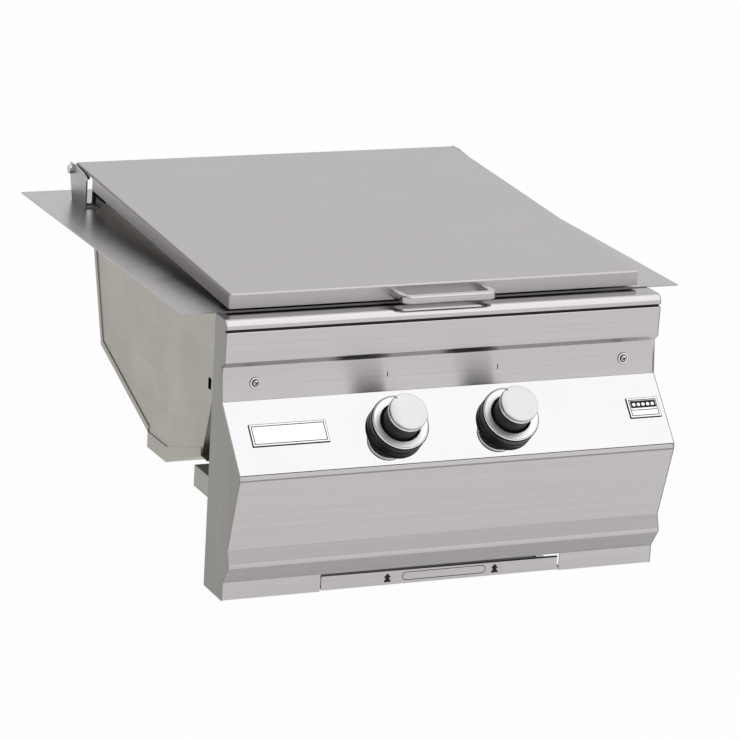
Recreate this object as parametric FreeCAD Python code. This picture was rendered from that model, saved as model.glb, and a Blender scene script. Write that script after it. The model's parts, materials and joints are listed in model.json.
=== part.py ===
import FreeCAD, Part
import math
import os

# Built in double side burner, in millimetres, +Z up, front towards -Y.
# The origin is the middle of the counter flange's front edge, on its underside:
# the level of the counter top that the flange hangs on.

V = FreeCAD.Vector

# Sheet metal
sheet = 1.2
plate_thickness = 2.0

# Counter flange
flange_width = 642.0
flange_depth = 589.0
flange_thickness = 1.5

# Firebox that hangs in the counter cut-out, seen from the side
firebox_front = 58.0
firebox_back = 519.0
front_wall_knee_drop = 86.0
front_wall_foot = (99.0, -205.0)
floor_knee = (214.0, -248.5)
floor_back = (280.0, -249.5)
pan_wall_height = 18.5
pan_front_lip = 21.0
back_wall_foot = (462.0, -170.0)
back_return = 8.0
back_return_drop = 12.0
front_upstand = 8.5
side_notch_length = 36.0
side_notch_floor = 12.0
side_upstand_end = 503.0
vent_slot = (78.0, -118.0, 10.0, 14.0)

# Lid
lid_width = 529.0
lid_side_overlap = 14.5
lid_front = -3.0
lid_back = 541.0
lid_front_top = 22.7
lid_back_top = 49.6
lid_skirt = 18.0
lid_side_skirt_end = 478.0
lid_back_hem = 8.0
lid_hem_inset = 14.0
lid_edge_radius = 2.5
lid_clearance = 3.0

# Lid hinge
hinge_y = 546.0
hinge_z = 40.0
hinge_pin_radius = 3.0
hinge_head_radius = 5.8
hinge_head_height = 4.8
hinge_nut_radius = 5.2
hinge_nut_length = 4.5
hinge_washer_thickness = 1.2
running_clearance = 0.05
side_clearance = 0.3
bracket_front = 491.0
bracket_rear = 553.0
bracket_undercut = 10.0
bracket_shoulder = 37.0
bracket_nose = 13.0
bracket_front_slope = [(3.0, 4.0), (14.0, 7.5)]
bracket_rear_bulge = 3.0
bracket_top = 47.5
bracket_foot_width = 16.0
screw_head_radius = 4.4
screw_head_height = 2.6
ear_front = 497.0
ear_drop = 14.0
ear_nose = 7.5

# Lid handle
handle_width = 124.0
handle_reach = 38.0
handle_bar = 10.0
handle_outer_bend = 13.0
handle_height = 13.0
handle_edge = 2.0

# Lid bumpers
bumper_radius = 7.0
bumper_x = 205.0
bumper_y = 30.0
rest_gap = 0.3

# Front panel, one bent sheet seen from the side
panel_width = 560.0
panel_top_lap = 20.0
panel_top = 0.3
lap_clearance = 0.5
fascia_y = -37.0
bullnose_radius = 9.0
groove_top = -11.0
groove_height = 3.0
groove_depth = 4.0
fascia_bottom = (-36.0, -50.5)
recess_top = (-28.5, -57.5)
control_top = (-32.8, -98.2)
control_length = 94.6
control_tilt = 43.5
control_plate_thickness = 1.0
nose_height = 6.5
nose_step = 1.2
nose_radius = 3.0
apron_bottom = (-70.1, -266.0)
bead = (-76.6, -285.0)
bead_radius = 5.0
lip_top = (-59.8, -309.0)
lip_height = 22.5
lip_return = 11.0
cheek_back = -2.0
cheek_return = 18.0

# Control panel pieces
knob_spacing = 142.4
bezel_radius = 35.7
bezel_bore_radius = 25.0
bezel_height = 13.3
knob_radius = 22.4
knob_cap_radius = 23.6
knob_height = 44.0
knob_gap = 4.5
knob_push = 3.0
knob_cap_depth = 8.5
knob_cap_bevel = 1.1
knob_mark_width = 1.6
knob_mark_length = 4.5
knob_socket_depth = 22.0
stem_radius = 4.0
stem_flat = 3.0
stem_hole_radius = 6.0
stem_hole_depth = 10.0
nameplate_width = 96.0
nameplate_height = 28.5
nameplate_end_gap = 73.0
badge_width = 41.5
badge_height = 26.5
badge_end_gap = 27.5
badge_thickness = 1.6
badge_rim = 2.4
badge_sunk = 0.4
plate_drop = 45.5
fascia_screw_end_gap = 42.0
fascia_screw_z = -78.0
fascia_screw_head_radius = 5.0
fascia_washer_radius = 6.5
washer_thickness = 1.0

# Gas valves, one behind each knob
bonnet_width = 38.0
bonnet_thickness = 3.0
valve_body_width = 26.0
valve_body_length = 44.0
valve_outlet_length = 12.0
plug_radius = 8.0
plug_depth = 20.0
plug_length = 22.0
plug_socket = 9.0
inlet_drop = 35.0
inlet_depth = 42.0
inlet_radius = 6.5
inlet_engagement = 3.0
tube_nut_radius = 7.5

# Gas manifold and inlet
pipe_radius = 10.65
pipe_bore_radius = 7.9
manifold_half = 225.0
pipe_cap_radius = 16.0
pipe_cap_length = 14.0
pipe_cap_end = 3.0
pipe_elbow_width = 30.0
gas_inlet_length = 34.0
gas_inlet_y = -10.0
manifold_bracket_x = 165.0
manifold_bracket_rise = 9.0
manifold_bracket_fall = 23.0
manifold_bracket_reach = 14.0
manifold_bracket_foot = 14.0

# Burners: each a casting of mixing tube and bowl, under a brass cap
burner_x = 122.0
burner_y = 290.0
mixer_z = -62.0
mouth_y = 36.0
mouth_radius = 24.0
mouth_length = 12.0
tube_radius = 16.0
tube_wall = 2.5
wall_hole_clearance = 1.5
web_thickness = 2.5
orifice_nose_radius = 6.0
nose_overrun = 4.0
elbow_width = 16.0
elbow_nut_length = 5.0
elbow_gap = 2.0
air_window_inner = 8.5
air_window_outer = 18.0
air_window_width = 11.0
bowl_radius = 45.0
bowl_top = -42.0
bowl_foot = -86.0
bowl_wall = 4.0
burner_cap_radius = 50.0
burner_cap_thickness = 6.0
port_ring_radius = 44.0
port_ring_wall = 6.0
port_ring_height = 8.0
cap_lug = 5.0
port_count = 12
port_offset = 0.25
port_width = 3.0
port_height = 4.0
gas_tube_radius = 4.0
gas_tube_bend = 18.0
gas_tube_run = 22.0
gas_tube_drop = 62.0
bend_step = 40.0

# Flat sides given to round pieces that nothing turns in
tube_sides = 12
casting_sides = 24
knob_sides = 48

# Burner support, igniter and grates
crossbar_width = 40.0
crossbar_height = 14.0
electrode_radius = 4.0
electrode_length = 34.0
electrode_wire = 2.0
electrode_gap = 4.0
grate_height = 12.0
grate_bar = 8.0
grate_cross = 5.0
grate_bars = 8
grate_gap = 2.0
ledge_width = 14.0
ledge_drop = 14.0

# Lower frame behind the front panel
frame_inset = 18.0
frame_back = 90.0
frame_top = -213.0
frame_height = 26.0
frame_tab = 14.0

# Instruction tray that slides out under the lip
tray_width = 308.0
tray_notch_clearance = 2.0
tray_gap = 3.0
tray_depth = 122.0
tray_thickness = 1.0
tray_set_back = 1.4
tray_floor_rise = 4.0
rail_width = 10.0
rail_lap = 6.0
rail_thickness = 1.0
rail_end_gap = 3.0
rail_tab = 22.0

firebox_width = lid_width - 2 * lid_side_overlap
half = firebox_width / 2.0
frame_half_width = panel_width / 2.0 - frame_inset
nameplate_x = nameplate_end_gap - panel_width / 2.0
badge_x = panel_width / 2.0 - badge_end_gap
fascia_screw_x = panel_width / 2.0 - fascia_screw_end_gap
flange_top = flange_thickness
control_angle = math.radians(control_tilt)
control_down = (-math.sin(control_angle), -math.cos(control_angle))
control_out = (-math.cos(control_angle), math.sin(control_angle))
control_bottom = (
    control_top[0] + control_length * control_down[0],
    control_top[1] + control_length * control_down[1],
)
lid_edge_depth = sheet + lid_edge_radius
lid_slope = math.atan2(lid_back_top - lid_front_top, lid_back - lid_front)
inner_face = -(control_plate_thickness + sheet)
stem_top = knob_gap + knob_socket_depth
elbow_back = mouth_y - elbow_gap
window_turns = (0, 120, 240)
lip_bottom = lip_top[1] - lip_height
notch_top = lip_top[1] - 0.5
tray_face_y = lip_top[0] + tray_set_back
bracket_outer = lid_width / 2.0 + hinge_washer_thickness + 2 * side_clearance + plate_thickness


def shifted(point, dy, dz):
    return (point[0] + dy, point[1] + dz)


def lid_top_z(y):
    return lid_front_top + (y - lid_front) * math.tan(lid_slope)


def unit(a, b):
    length = math.hypot(b[0] - a[0], b[1] - a[1])
    return ((b[0] - a[0]) / length, (b[1] - a[1]) / length)


def meet(p, u, q, w):
    """Where the line through p along u crosses the line through q along w."""
    cross = u[0] * w[1] - u[1] * w[0]
    if abs(cross) < 1e-9:
        return q
    t = ((q[0] - p[0]) * w[1] - (q[1] - p[1]) * w[0]) / cross
    return (p[0] + u[0] * t, p[1] + u[1] * t)


def beside(points, distance):
    """The same open outline, moved to its left by a distance."""
    runs = [unit(a, b) for a, b in zip(points, points[1:])]
    sides = [(-u[1] * distance, u[0] * distance) for u in runs]
    moved = [shifted(points[0], *sides[0])]
    for i in range(1, len(runs)):
        before = shifted(points[i], *sides[i - 1])
        after = shifted(points[i], *sides[i])
        moved.append(meet(before, runs[i - 1], after, runs[i]))
    moved.append(shifted(points[-1], *sides[-1]))
    return moved


def side_point(p):
    return V(0, p[0], p[1])


def turn_between(u, w):
    return math.atan2(u[0] * w[1] - u[1] * w[0], u[0] * w[0] + u[1] * w[1])


def rounded(points, radii):
    """Edges along an open outline, with an arc at each corner that radii gives a radius by its number."""
    edges = []
    start = points[0]
    for i in range(1, len(points) - 1):
        last = points[i]
        if i in radii:
            u = unit(points[i - 1], points[i])
            w = unit(points[i], points[i + 1])
            turn = turn_between(u, w)
            trim = radii[i] * math.tan(abs(turn) / 2.0)
            first = shifted(points[i], -u[0] * trim, -u[1] * trim)
            last = shifted(points[i], w[0] * trim, w[1] * trim)
            inward = unit((0, 0), (w[0] - u[0], w[1] - u[1]))
            reach = radii[i] / math.cos(turn / 2.0) - radii[i]
            middle = shifted(points[i], inward[0] * reach, inward[1] * reach)
            edges.append(Part.makeLine(side_point(start), side_point(first)))
            edges.append(Part.Arc(side_point(first), side_point(middle), side_point(last)).toShape())
        else:
            edges.append(Part.makeLine(side_point(start), side_point(last)))
        start = last
    edges.append(Part.makeLine(side_point(start), side_point(points[-1])))
    return edges


def face_between(edges, other_edges, corners):
    """A flat face inside two open runs of edges and the lines that join their ends."""
    joins = [Part.makeLine(a, b) for a, b in corners]
    return Part.Face(Part.Wire(Part.__sortEdges__(edges + joins + other_edges)))


def bent_sheet(points, thickness, x_low, x_high, bends=None):
    """A sheet bent along an outline, thickened to its left, with inner radii at numbered bends."""
    near = {}
    far = {}
    for i, inner in (bends or {}).items():
        turn = turn_between(unit(points[i - 1], points[i]), unit(points[i], points[i + 1]))
        outside = turn * thickness > 0
        near[i] = inner + abs(thickness) if outside else inner
        far[i] = inner if outside else inner + abs(thickness)
    other = beside(points, thickness)
    ends = [(side_point(points[i]), side_point(other[i])) for i in (0, -1)]
    face = face_between(rounded(points, near), rounded(other, far), ends)
    solid = face.extrude(V(x_high - x_low, 0, 0))
    solid.translate(V(x_low, 0, 0))
    return solid


def side_plate(points, x_low, x_high):
    """A flat plate with an outline in Y and Z, between two values of X."""
    corners = [V(x_low, y, z) for y, z in points]
    return prism(corners, V(x_high - x_low, 0, 0))


def prism(corners, along):
    return Part.Face(Part.makePolygon(corners + corners[:1])).extrude(along)


def block(x_low, x_high, y_low, y_high, z_low, z_high):
    return Part.makeBox(x_high - x_low, y_high - y_low, z_high - z_low, V(x_low, y_low, z_low))


def centred_block(width, depth, z_low, z_high):
    return block(-width / 2, width / 2, -depth / 2, depth / 2, z_low, z_high)


def rod(radius, start, direction, length):
    return Part.makeCylinder(radius, length, start, direction)


def turned(profile):
    """A solid of revolution about +Z from its half outline of (radius, height) points."""
    points = [V(r, 0, h) for r, h in profile]
    face = Part.Face(Part.makePolygon(points + points[:1]))
    return face.revolve(V(0, 0, 0), V(0, 0, 1), 360)


def mirrored(shape):
    return shape.mirror(V(0, 0, 0), V(1, 0, 0))


def both_sides(name, left):
    return {"left_" + name: left, "right_" + name: mirrored(left)}


def group(shapes):
    return Part.makeCompound(shapes)


def pair(left):
    return group([left, mirrored(left)])


def ring(radius, height, sides):
    """Corners of a regular polygon round +Z at a height."""
    turns = [2 * math.pi * i / sides for i in range(sides)]
    return [V(radius * math.cos(a), radius * math.sin(a), height) for a in turns]


def hexagon(radius, height):
    return prism(ring(radius, 0, 6), V(0, 0, height))


def facet_rod(radius, start, direction, length, sides=casting_sides):
    """A bar with flat sides, for round pieces that nothing turns in."""
    return on_axis(prism(ring(radius, 0, sides), V(0, 0, length)), start, direction)


def stacked(rings):
    """A solid with flat faces between rings of points, closed by its first and last ring."""
    outlines = [rings[0][::-1], rings[-1]]
    for low, high in zip(rings, rings[1:]):
        for i, point in enumerate(low):
            j = (i + 1) % len(low)
            outlines.append([point, low[j], high[j], high[i]])
    shell = Part.makeShell([Part.Face(Part.makePolygon(line + line[:1])) for line in outlines])
    shell.sewShape()
    return Part.makeSolid(shell)


def hex_head(start, direction):
    """The head of a hexagon-head screw that stands on a face."""
    return on_axis(hexagon(screw_head_radius, screw_head_height), start, direction)


def pan_head(radius, height):
    """A screw head about +Z with a cross recess, standing on 0."""
    reach = radius * 0.5
    arm = radius * 0.12
    quarter = [(reach, -arm), (reach, arm), (arm, arm)]
    corners = []
    for angle in range(0, 360, 90):
        c, n = math.cos(math.radians(angle)), math.sin(math.radians(angle))
        corners += [V(x * c - y * n, x * n + y * c, height / 2.0) for x, y in quarter]
    head = prism(ring(radius, 0, tube_sides), V(0, 0, height))
    return head.cut(prism(corners, V(0, 0, height)))


def on_axis(shape, origin, direction):
    """Turns a shape made about +Z so that it lies along a direction from an origin."""
    placed = shape.copy()
    place = FreeCAD.Placement(origin, FreeCAD.Rotation(V(0, 0, 1), direction))
    placed.Placement = place.multiply(placed.Placement)
    return placed


def on_control_face(shape, x, drop=None):
    """Places a shape made on the XY plane onto the control plate, +Y up the slope."""
    along = control_length / 2.0 if drop is None else drop
    y = control_top[0] + along * control_down[0]
    z = control_top[1] + along * control_down[1]
    up_slope = V(0, -control_down[0], -control_down[1])
    outward = V(0, control_out[0], control_out[1])
    placed = shape.copy()
    turn = FreeCAD.Rotation(V(1, 0, 0), up_slope, outward, "ZXY")
    placed.Placement = FreeCAD.Placement(V(x, y, z), turn).multiply(placed.Placement)
    return placed


# Flange and firebox


def counter_flange():
    """Flat frame that rests on the counter, eased underneath where the front panel laps it."""
    outer = block(-flange_width / 2, flange_width / 2, 0, flange_depth, 0, flange_thickness)
    hole = block(-half, half, firebox_front, firebox_back, -1, flange_thickness + 1)
    lap_half = panel_width / 2.0 + lap_clearance
    lap = block(-lap_half, lap_half, -1, panel_top_lap + lap_clearance, -1, panel_top)
    return outer.cut(hole).cut(lap)


def front_wall_line():
    return [
        (firebox_front, flange_top + front_upstand),
        (firebox_front, -front_wall_knee_drop),
        front_wall_foot,
    ]


def back_wall_line():
    return [
        (firebox_back, upstand_top(firebox_back)),
        (firebox_back, 0),
        back_wall_foot,
        (floor_back[0] + sheet, floor_back[1] + pan_wall_height),
    ]


def upstand_top(y):
    """Height of the upstand's edge, just under the shut lid."""
    return lid_top_z(y) - sheet - lid_clearance


def firebox_side_wall():
    """The left wall, with the wedge upstand that the lid covers, a rear notch and a vent slot."""
    front = beside(front_wall_line(), sheet)
    notch_front = side_upstand_end - side_notch_length
    outline = [
        (firebox_front + sheet, upstand_top(firebox_front)),
        (notch_front, upstand_top(notch_front)),
        (notch_front, side_notch_floor),
        (side_upstand_end, side_notch_floor),
        (side_upstand_end, 0),
        (firebox_back - sheet, 0),
        shifted(back_wall_foot, -sheet, sheet),
        (floor_back[0], floor_back[1] + pan_wall_height + sheet),
        floor_back,
        floor_knee,
        (front_wall_foot[0] + sheet, front[-1][1]),
        front[1],
    ]
    wall = side_plate(outline, -half, -half + sheet)
    y, z, width, height = vent_slot
    return wall.cut(block(-half - 1, -half + sheet + 1, y, y + width, z, z + height))


def firebox_front_wall():
    """Front wall and sloping front floor in one bent sheet, with a hole for each mixing tube."""
    wall = bent_sheet(front_wall_line(), sheet, -half, half)
    radius = tube_radius + wall_hole_clearance
    for x in (-burner_x, burner_x):
        wall = wall.cut(rod(radius, V(x, firebox_front - 5, mixer_z), V(0, 1, 0), 10))
    return wall


def firebox_back_panel():
    """Back wall and sloping rear floor in one bent sheet, with a return below the flange each side."""
    line = back_wall_line()
    panel = bent_sheet(line, -sheet, -half, half)
    leg = line[1:]
    inner = beside(leg, -back_return)
    level = (0, -back_return_drop)
    for edge in (leg, inner):
        edge[0] = meet(edge[0], unit(edge[0], edge[1]), level, (1, 0))
    side = side_plate(leg + inner[::-1], -half - sheet, -half)
    return panel.fuse([side, mirrored(side)]).removeSplitter()


def firebox_bottom_pan():
    """Floor pan: it laps up outside the side walls and has a lip at the front."""
    lip_start = shifted(front_wall_foot, -pan_front_lip, 0)
    floor_line = [front_wall_foot, floor_knee, floor_back]
    line = beside([lip_start] + floor_line, -sheet)
    line[-1] = shifted(line[-1], sheet, 0)
    outer = half + sheet
    floor = bent_sheet(line, sheet, -outer, outer)
    wall_top = floor_back[1] + pan_wall_height
    rear = block(-outer, outer, floor_back[0], floor_back[0] + sheet, floor_back[1], wall_top)
    upper = [
        (floor_back[0], wall_top),
        (floor_knee[0], floor_knee[1] + pan_wall_height),
        shifted(front_wall_foot, 0, pan_wall_height * 0.55),
    ]
    side = side_plate(floor_line + upper, -outer, -half)
    return floor.fuse([rear, side, mirrored(side)]).removeSplitter()


# Lid


def lid_shell():
    """A folded lid: top, skirts at front and sides, and a narrow hem along the back."""
    width = lid_width / 2.0
    low = lid_front_top - lid_skirt
    corners = [(lid_front, low), (lid_front, lid_front_top), (lid_back, lid_back_top)]
    outer = side_plate(corners + [(lid_back, lid_back_top - lid_skirt)], -width, width)
    outer = outer.makeFillet(lid_edge_radius, [e for e in outer.Edges if on_soft_corner(e)])
    inner_line = [
        (lid_front + sheet, low - 1),
        (lid_front + sheet, lid_top_z(lid_front + sheet) - sheet),
        (lid_back - sheet, lid_top_z(lid_back - sheet) - sheet),
        (lid_back - sheet, low - 1),
    ]
    shell = outer.cut(side_plate(inner_line, -width + sheet, width - sheet))
    behind_skirt = [
        (lid_side_skirt_end, lid_top_z(lid_side_skirt_end) - lid_edge_depth),
        (lid_back + 1, lid_top_z(lid_back) - lid_edge_depth),
        (lid_back + 1, low),
        (lid_side_skirt_end, low),
    ]
    for x in (-width - 1, width - lid_hem_inset):
        shell = shell.cut(side_plate(behind_skirt, x, x + lid_hem_inset + 1))
    hem_bottom = lid_back_top - lid_back_hem
    return shell.cut(block(-width, width, lid_back - 2 * sheet, lid_back + 1, low, hem_bottom))


def on_soft_corner(edge):
    """Whether an edge of the lid's wedge is rounded: round its top, but not at the back."""
    ends = [vertex.Point for vertex in edge.Vertexes]
    on_top = all(abs(p.z - lid_top_z(p.y)) < 1e-4 for p in ends)
    at_front = all(abs(p.y - lid_front) < 1e-4 for p in ends)
    at_back = all(abs(p.y - lid_back) < 1e-4 for p in ends)
    upright = abs(ends[0].x - ends[-1].x) < 1e-4
    return (on_top and not at_back) or (at_front and upright)


def nose_point(angle, radius):
    """A point round the hinge pin at an angle up from straight back."""
    turn = math.radians(angle)
    return (hinge_y + radius * math.cos(turn), hinge_z + radius * math.sin(turn))


def lid_ear():
    """Hinge lug under the lid's left rear corner, in line with the side skirt."""
    x_low = -lid_width / 2.0 + sheet
    top_back = lid_back - sheet
    outline = [
        (ear_front, lid_top_z(ear_front) - sheet),
        (top_back, lid_top_z(top_back) - sheet),
        (top_back, lid_top_z(top_back) - lid_edge_depth - side_clearance),
        nose_point(45, ear_nose),
        nose_point(0, ear_nose),
        nose_point(-45, ear_nose),
        nose_point(-90, ear_nose),
        (ear_front + ear_drop, lid_top_z(ear_front) - ear_drop),
        (ear_front, lid_top_z(ear_front) - ear_drop * 0.7),
    ]
    ear = side_plate(outline, x_low, x_low + plate_thickness)
    start = V(x_low - 1, hinge_y, hinge_z)
    return ear.cut(rod(hinge_pin_radius + running_clearance, start, V(1, 0, 0), plate_thickness + 2))


def hinge_bracket():
    """Bracket outside the lid's left rear corner: an upright ear on a foot screwed to the flange."""
    outer = -bracket_outer
    foot_back = bracket_rear - bracket_undercut
    outline = [
        (bracket_front, flange_top),
        (bracket_front, bracket_shoulder),
        *[(bracket_front + y, bracket_shoulder + z) for y, z in bracket_front_slope],
        (hinge_y - bracket_nose, bracket_top),
        (bracket_rear, bracket_top),
        (bracket_rear + bracket_rear_bulge, hinge_z),
        (foot_back, flange_top),
    ]
    upright = side_plate(outline, outer, outer + plate_thickness)
    foot_top = flange_top + plate_thickness
    inner = outer + bracket_foot_width
    foot = block(outer, inner, bracket_front, foot_back, flange_top, foot_top)
    bracket = upright.fuse(foot).removeSplitter()
    start = V(outer, hinge_y, hinge_z)
    return bracket.cut(rod(hinge_pin_radius, start, V(1, 0, 0), plate_thickness))


def bracket_screw_places():
    length = bracket_rear - bracket_undercut - bracket_front
    return [bracket_front + length * 0.25, bracket_front + length * 0.75]


def foot_screw_x():
    return -bracket_outer + plate_thickness + (bracket_foot_width - plate_thickness) / 2.0


def hinge_bolt():
    """Pin through bracket and lid ear, with a round head outside and a nut inside."""
    outer = -bracket_outer
    nut_start = -lid_width / 2.0 + sheet + plate_thickness + side_clearance
    at = V(outer, hinge_y, hinge_z)
    head = facet_rod(hinge_head_radius, at, V(-1, 0, 0), hinge_head_height, tube_sides)
    pin = rod(hinge_pin_radius, at, V(1, 0, 0), nut_start - outer)
    nut = on_axis(hexagon(hinge_nut_radius, hinge_nut_length), V(nut_start, hinge_y, hinge_z), V(1, 0, 0))
    return head.fuse([pin, nut]).removeSplitter()


def bracket_screws():
    top = flange_top + plate_thickness
    heads = [hex_head(V(foot_screw_x(), y, top), V(0, 0, 1)) for y in bracket_screw_places()]
    return group(heads + [mirrored(head) for head in heads])


def lid_handle():
    """A square bar bent into a U, with bevelled edges, on the lid's front skirt."""
    side = handle_bar / 2.0
    flat = side - handle_edge
    reach = handle_width / 2.0 - side
    front = lid_front - handle_reach + side
    foot = V(-reach, lid_front, handle_height)
    route = [(-reach, lid_front), (-reach, front), (reach, front), (reach, lid_front)]
    path = [V(x, y, handle_height) for x, y in route]
    quarter = [(side, flat), (flat, side), (-flat, side), (-side, flat)]
    octagon = quarter + [(-x, -z) for x, z in quarter]
    section = [foot + V(x, 0, z) for x, z in octagon]
    return mitred_bar(bent_route(path, handle_outer_bend - side), section)


def handle_screws():
    place = handle_width / 2.0 - handle_bar / 2.0
    heads = [V(x, lid_front + sheet, handle_height) for x in (-place, place)]
    return group([hex_head(start, V(0, 1, 0)) for start in heads])


def lid_bumper():
    """Rubber button under the lid that meets the flange when the lid is shut."""
    bottom = flange_top + rest_gap
    top = lid_top_z(bumper_y + bumper_radius)
    button = turned([(0, bottom), (bumper_radius, bottom), (bumper_radius, top), (0, top)])
    button.translate(V(-bumper_x, bumper_y, 0))
    ends = [bumper_y - 2 * bumper_radius, bumper_y + 2 * bumper_radius]
    under = [(y, lid_top_z(y) - sheet) for y in ends]
    over = [(y, lid_top_z(y) + bumper_radius) for y in reversed(ends)]
    return button.cut(side_plate(under + over, -lid_width / 2, lid_width / 2))


# Front panel


def sheet_corner(point):
    """The sheet lies behind the control plate by the plate's thickness."""
    depth = control_plate_thickness
    return shifted(point, -control_out[0] * depth, -control_out[1] * depth)


def panel_line():
    top = sheet_corner(control_top)
    bottom = sheet_corner(control_bottom)
    return [
        (panel_top_lap, panel_top),
        (fascia_y, panel_top),
        (fascia_y, groove_top),
        (fascia_y + groove_depth, groove_top),
        (fascia_y + groove_depth, groove_top - groove_height),
        (fascia_y, groove_top - groove_height),
        fascia_bottom,
        recess_top,
        top,
        bottom,
        shifted(bottom, -nose_step, -nose_height),
        apron_bottom,
        bead,
        lip_top,
        (lip_top[0], lip_bottom),
        (lip_top[0] + lip_return, lip_bottom),
    ]


def front_panel():
    """Bullnose, groove, fascia, recess, control face, apron, bead and lip in one bent sheet."""
    inside = panel_width / 2.0 - sheet
    bends = {1: bullnose_radius - sheet, 10: nose_radius, 12: bead_radius}
    panel = bent_sheet(panel_line(), sheet, -inside, inside, bends)
    notch = tray_width / 2.0 + tray_notch_clearance
    lip_front, lip_back = lip_top[0] - 1, lip_top[0] + lip_return + 1
    panel = panel.cut(block(-notch, notch, lip_front, lip_back, lip_bottom - 1, notch_top))
    for x in knob_places():
        panel = panel.cut(stem_hole(x))
    return panel


def knob_places():
    return [-knob_spacing / 2.0, knob_spacing / 2.0]


def stem_hole(x):
    start = V(0, 0, -stem_hole_depth)
    return on_control_face(rod(stem_hole_radius, start, V(0, 0, 1), 2 * stem_hole_depth), x)


def control_plate():
    """Polished plate on the control face, with a hole for each valve stem."""
    inside = panel_width / 2.0 - sheet
    middle = control_length / 2.0
    plate = block(-inside, inside, -middle, middle, -control_plate_thickness, 0)
    plate = on_control_face(plate, 0)
    for x in knob_places():
        plate = plate.cut(stem_hole(x))
    return plate


def cheek():
    """Left end of the front panel: the panel's side outline with a return at the back."""
    line = panel_line()
    front = line[1:8] + [control_top, control_bottom] + line[10:15]
    start = (cheek_back, panel_top)
    end = (cheek_back, lip_bottom)
    edges = rounded([start] + front + [end], {1: bullnose_radius, 12: bead_radius})
    face = face_between(edges, [], [(side_point(end), side_point(start))])
    outer = -panel_width / 2.0
    plate = face.extrude(V(sheet, 0, 0))
    plate.translate(V(outer, 0, 0))
    x_low, x_high = outer + sheet, outer + cheek_return
    low = lip_bottom + sheet + 1
    back = block(x_low, x_high, cheek_back - sheet, cheek_back, low, -sheet - 1)
    return plate.fuse(back).removeSplitter()


def on_fascia(shape, x):
    """Places a shape made about +Z on the recessed strip, +Z outwards."""
    run = unit(recess_top, sheet_corner(control_top))
    outward = V(0, run[1], -run[0])
    along = (fascia_screw_z - recess_top[1]) / run[1]
    place = V(x, recess_top[0] + run[0] * along, fascia_screw_z)
    return on_axis(shape, place, outward)


def fascia_screws():
    washer = facet_rod(fascia_washer_radius, V(0, 0, 0), V(0, 0, 1), washer_thickness)
    head = pan_head(fascia_screw_head_radius, screw_head_height)
    head.translate(V(0, 0, washer_thickness))
    fastener = washer.fuse(head)
    return group([on_fascia(fastener, x) for x in (-fascia_screw_x, fascia_screw_x)])


def bare_plate(width, height):
    """A plate with a raised rim round a bare field."""
    plate = centred_block(width, height, 0, badge_thickness)
    floor = badge_thickness - badge_sunk
    field = centred_block(width - 2 * badge_rim, height - 2 * badge_rim, floor, badge_thickness + 1)
    return plate.cut(field)


def nameplate():
    return on_control_face(bare_plate(nameplate_width, nameplate_height), nameplate_x, plate_drop)


def badge_plate():
    return on_control_face(bare_plate(badge_width, badge_height), badge_x, plate_drop)


# Knobs and valves, made about the stem axis with 0 at the control plate's face


def bezel():
    outside = ring(bezel_radius, 0, knob_sides)
    bore = ring(bezel_bore_radius, 0, knob_sides)
    return prism(outside, V(0, 0, bezel_height)).cut(prism(bore, V(0, 0, bezel_height)))


def d_bar(radius, flat, bottom, top):
    """A round bar with one flat along its length."""
    bar = rod(radius, V(0, 0, bottom), V(0, 0, 1), top - bottom)
    return bar.cut(block(-radius - 1, radius + 1, flat, radius + 1, bottom - 1, top + 1))


def knob_body():
    """Knob grip with a D socket that grips the stem."""
    grip = prism(ring(knob_radius, knob_gap, knob_sides), V(0, 0, knob_height - knob_cap_depth - knob_gap))
    return grip.cut(d_bar(stem_radius, stem_flat, 0, stem_top))


def knob_cap():
    """Cap with a bevelled rim and an index groove at the top."""
    low = knob_height - knob_cap_depth
    shoulder = knob_height - knob_cap_bevel
    rim = knob_cap_radius - knob_cap_bevel
    levels = [(knob_cap_radius, low), (knob_cap_radius, shoulder), (rim, knob_height)]
    cap = stacked([ring(radius, height, knob_sides) for radius, height in levels])
    across = knob_mark_width / 2.0
    start = knob_cap_radius - knob_mark_length
    return cap.cut(block(-across, across, start, knob_cap_radius, shoulder, knob_height))


def valve_depths():
    """Heights of the ends of the valve's bonnet, body and outlet behind the control face."""
    bonnet_end = inner_face - bonnet_thickness
    body_end = bonnet_end - valve_body_length
    return bonnet_end, body_end, body_end - valve_outlet_length


def valve_stem():
    """Stem with one flat: its foot slides in the plug's socket when the knob is pushed."""
    foot = inner_face - plug_depth - plug_socket + knob_push + 1.0
    return d_bar(stem_radius, stem_flat, foot, stem_top)


def valve_plug():
    """Plug that the stem's flat turns."""
    top = inner_face - plug_depth
    plug = rod(plug_radius, V(0, 0, top - plug_length), V(0, 0, 1), plug_length)
    fit = running_clearance
    return plug.cut(d_bar(stem_radius + fit, stem_flat + fit, top - plug_socket, top))


def valve_body():
    """Gas tap: bonnet, body with the plug's seat and the stem's bore, outlet nut and inlet."""
    bonnet_end, body_end, outlet_end = valve_depths()
    bonnet = centred_block(bonnet_width, valve_body_width, bonnet_end, inner_face)
    body = centred_block(valve_body_width, valve_body_width, body_end, bonnet_end)
    outlet = hexagon(tube_nut_radius, valve_outlet_length)
    outlet.translate(V(0, 0, outlet_end))
    inlet = valve_inlet(inlet_drop - pipe_radius + inlet_engagement)
    tap = bonnet.fuse([body, outlet, inlet]).removeSplitter()
    top = inner_face - plug_depth
    seat_length = plug_length + 2 * side_clearance
    seat = rod(plug_radius + running_clearance, V(0, 0, top + side_clearance), V(0, 0, -1), seat_length)
    bore = rod(stem_radius + running_clearance, V(0, 0, top), V(0, 0, 1), -top)
    return tap.cut(seat).cut(bore)


def valve_inlet(length):
    return facet_rod(inlet_radius, V(0, 0, -inlet_depth), V(0, -1, 0), length, tube_sides)


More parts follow.
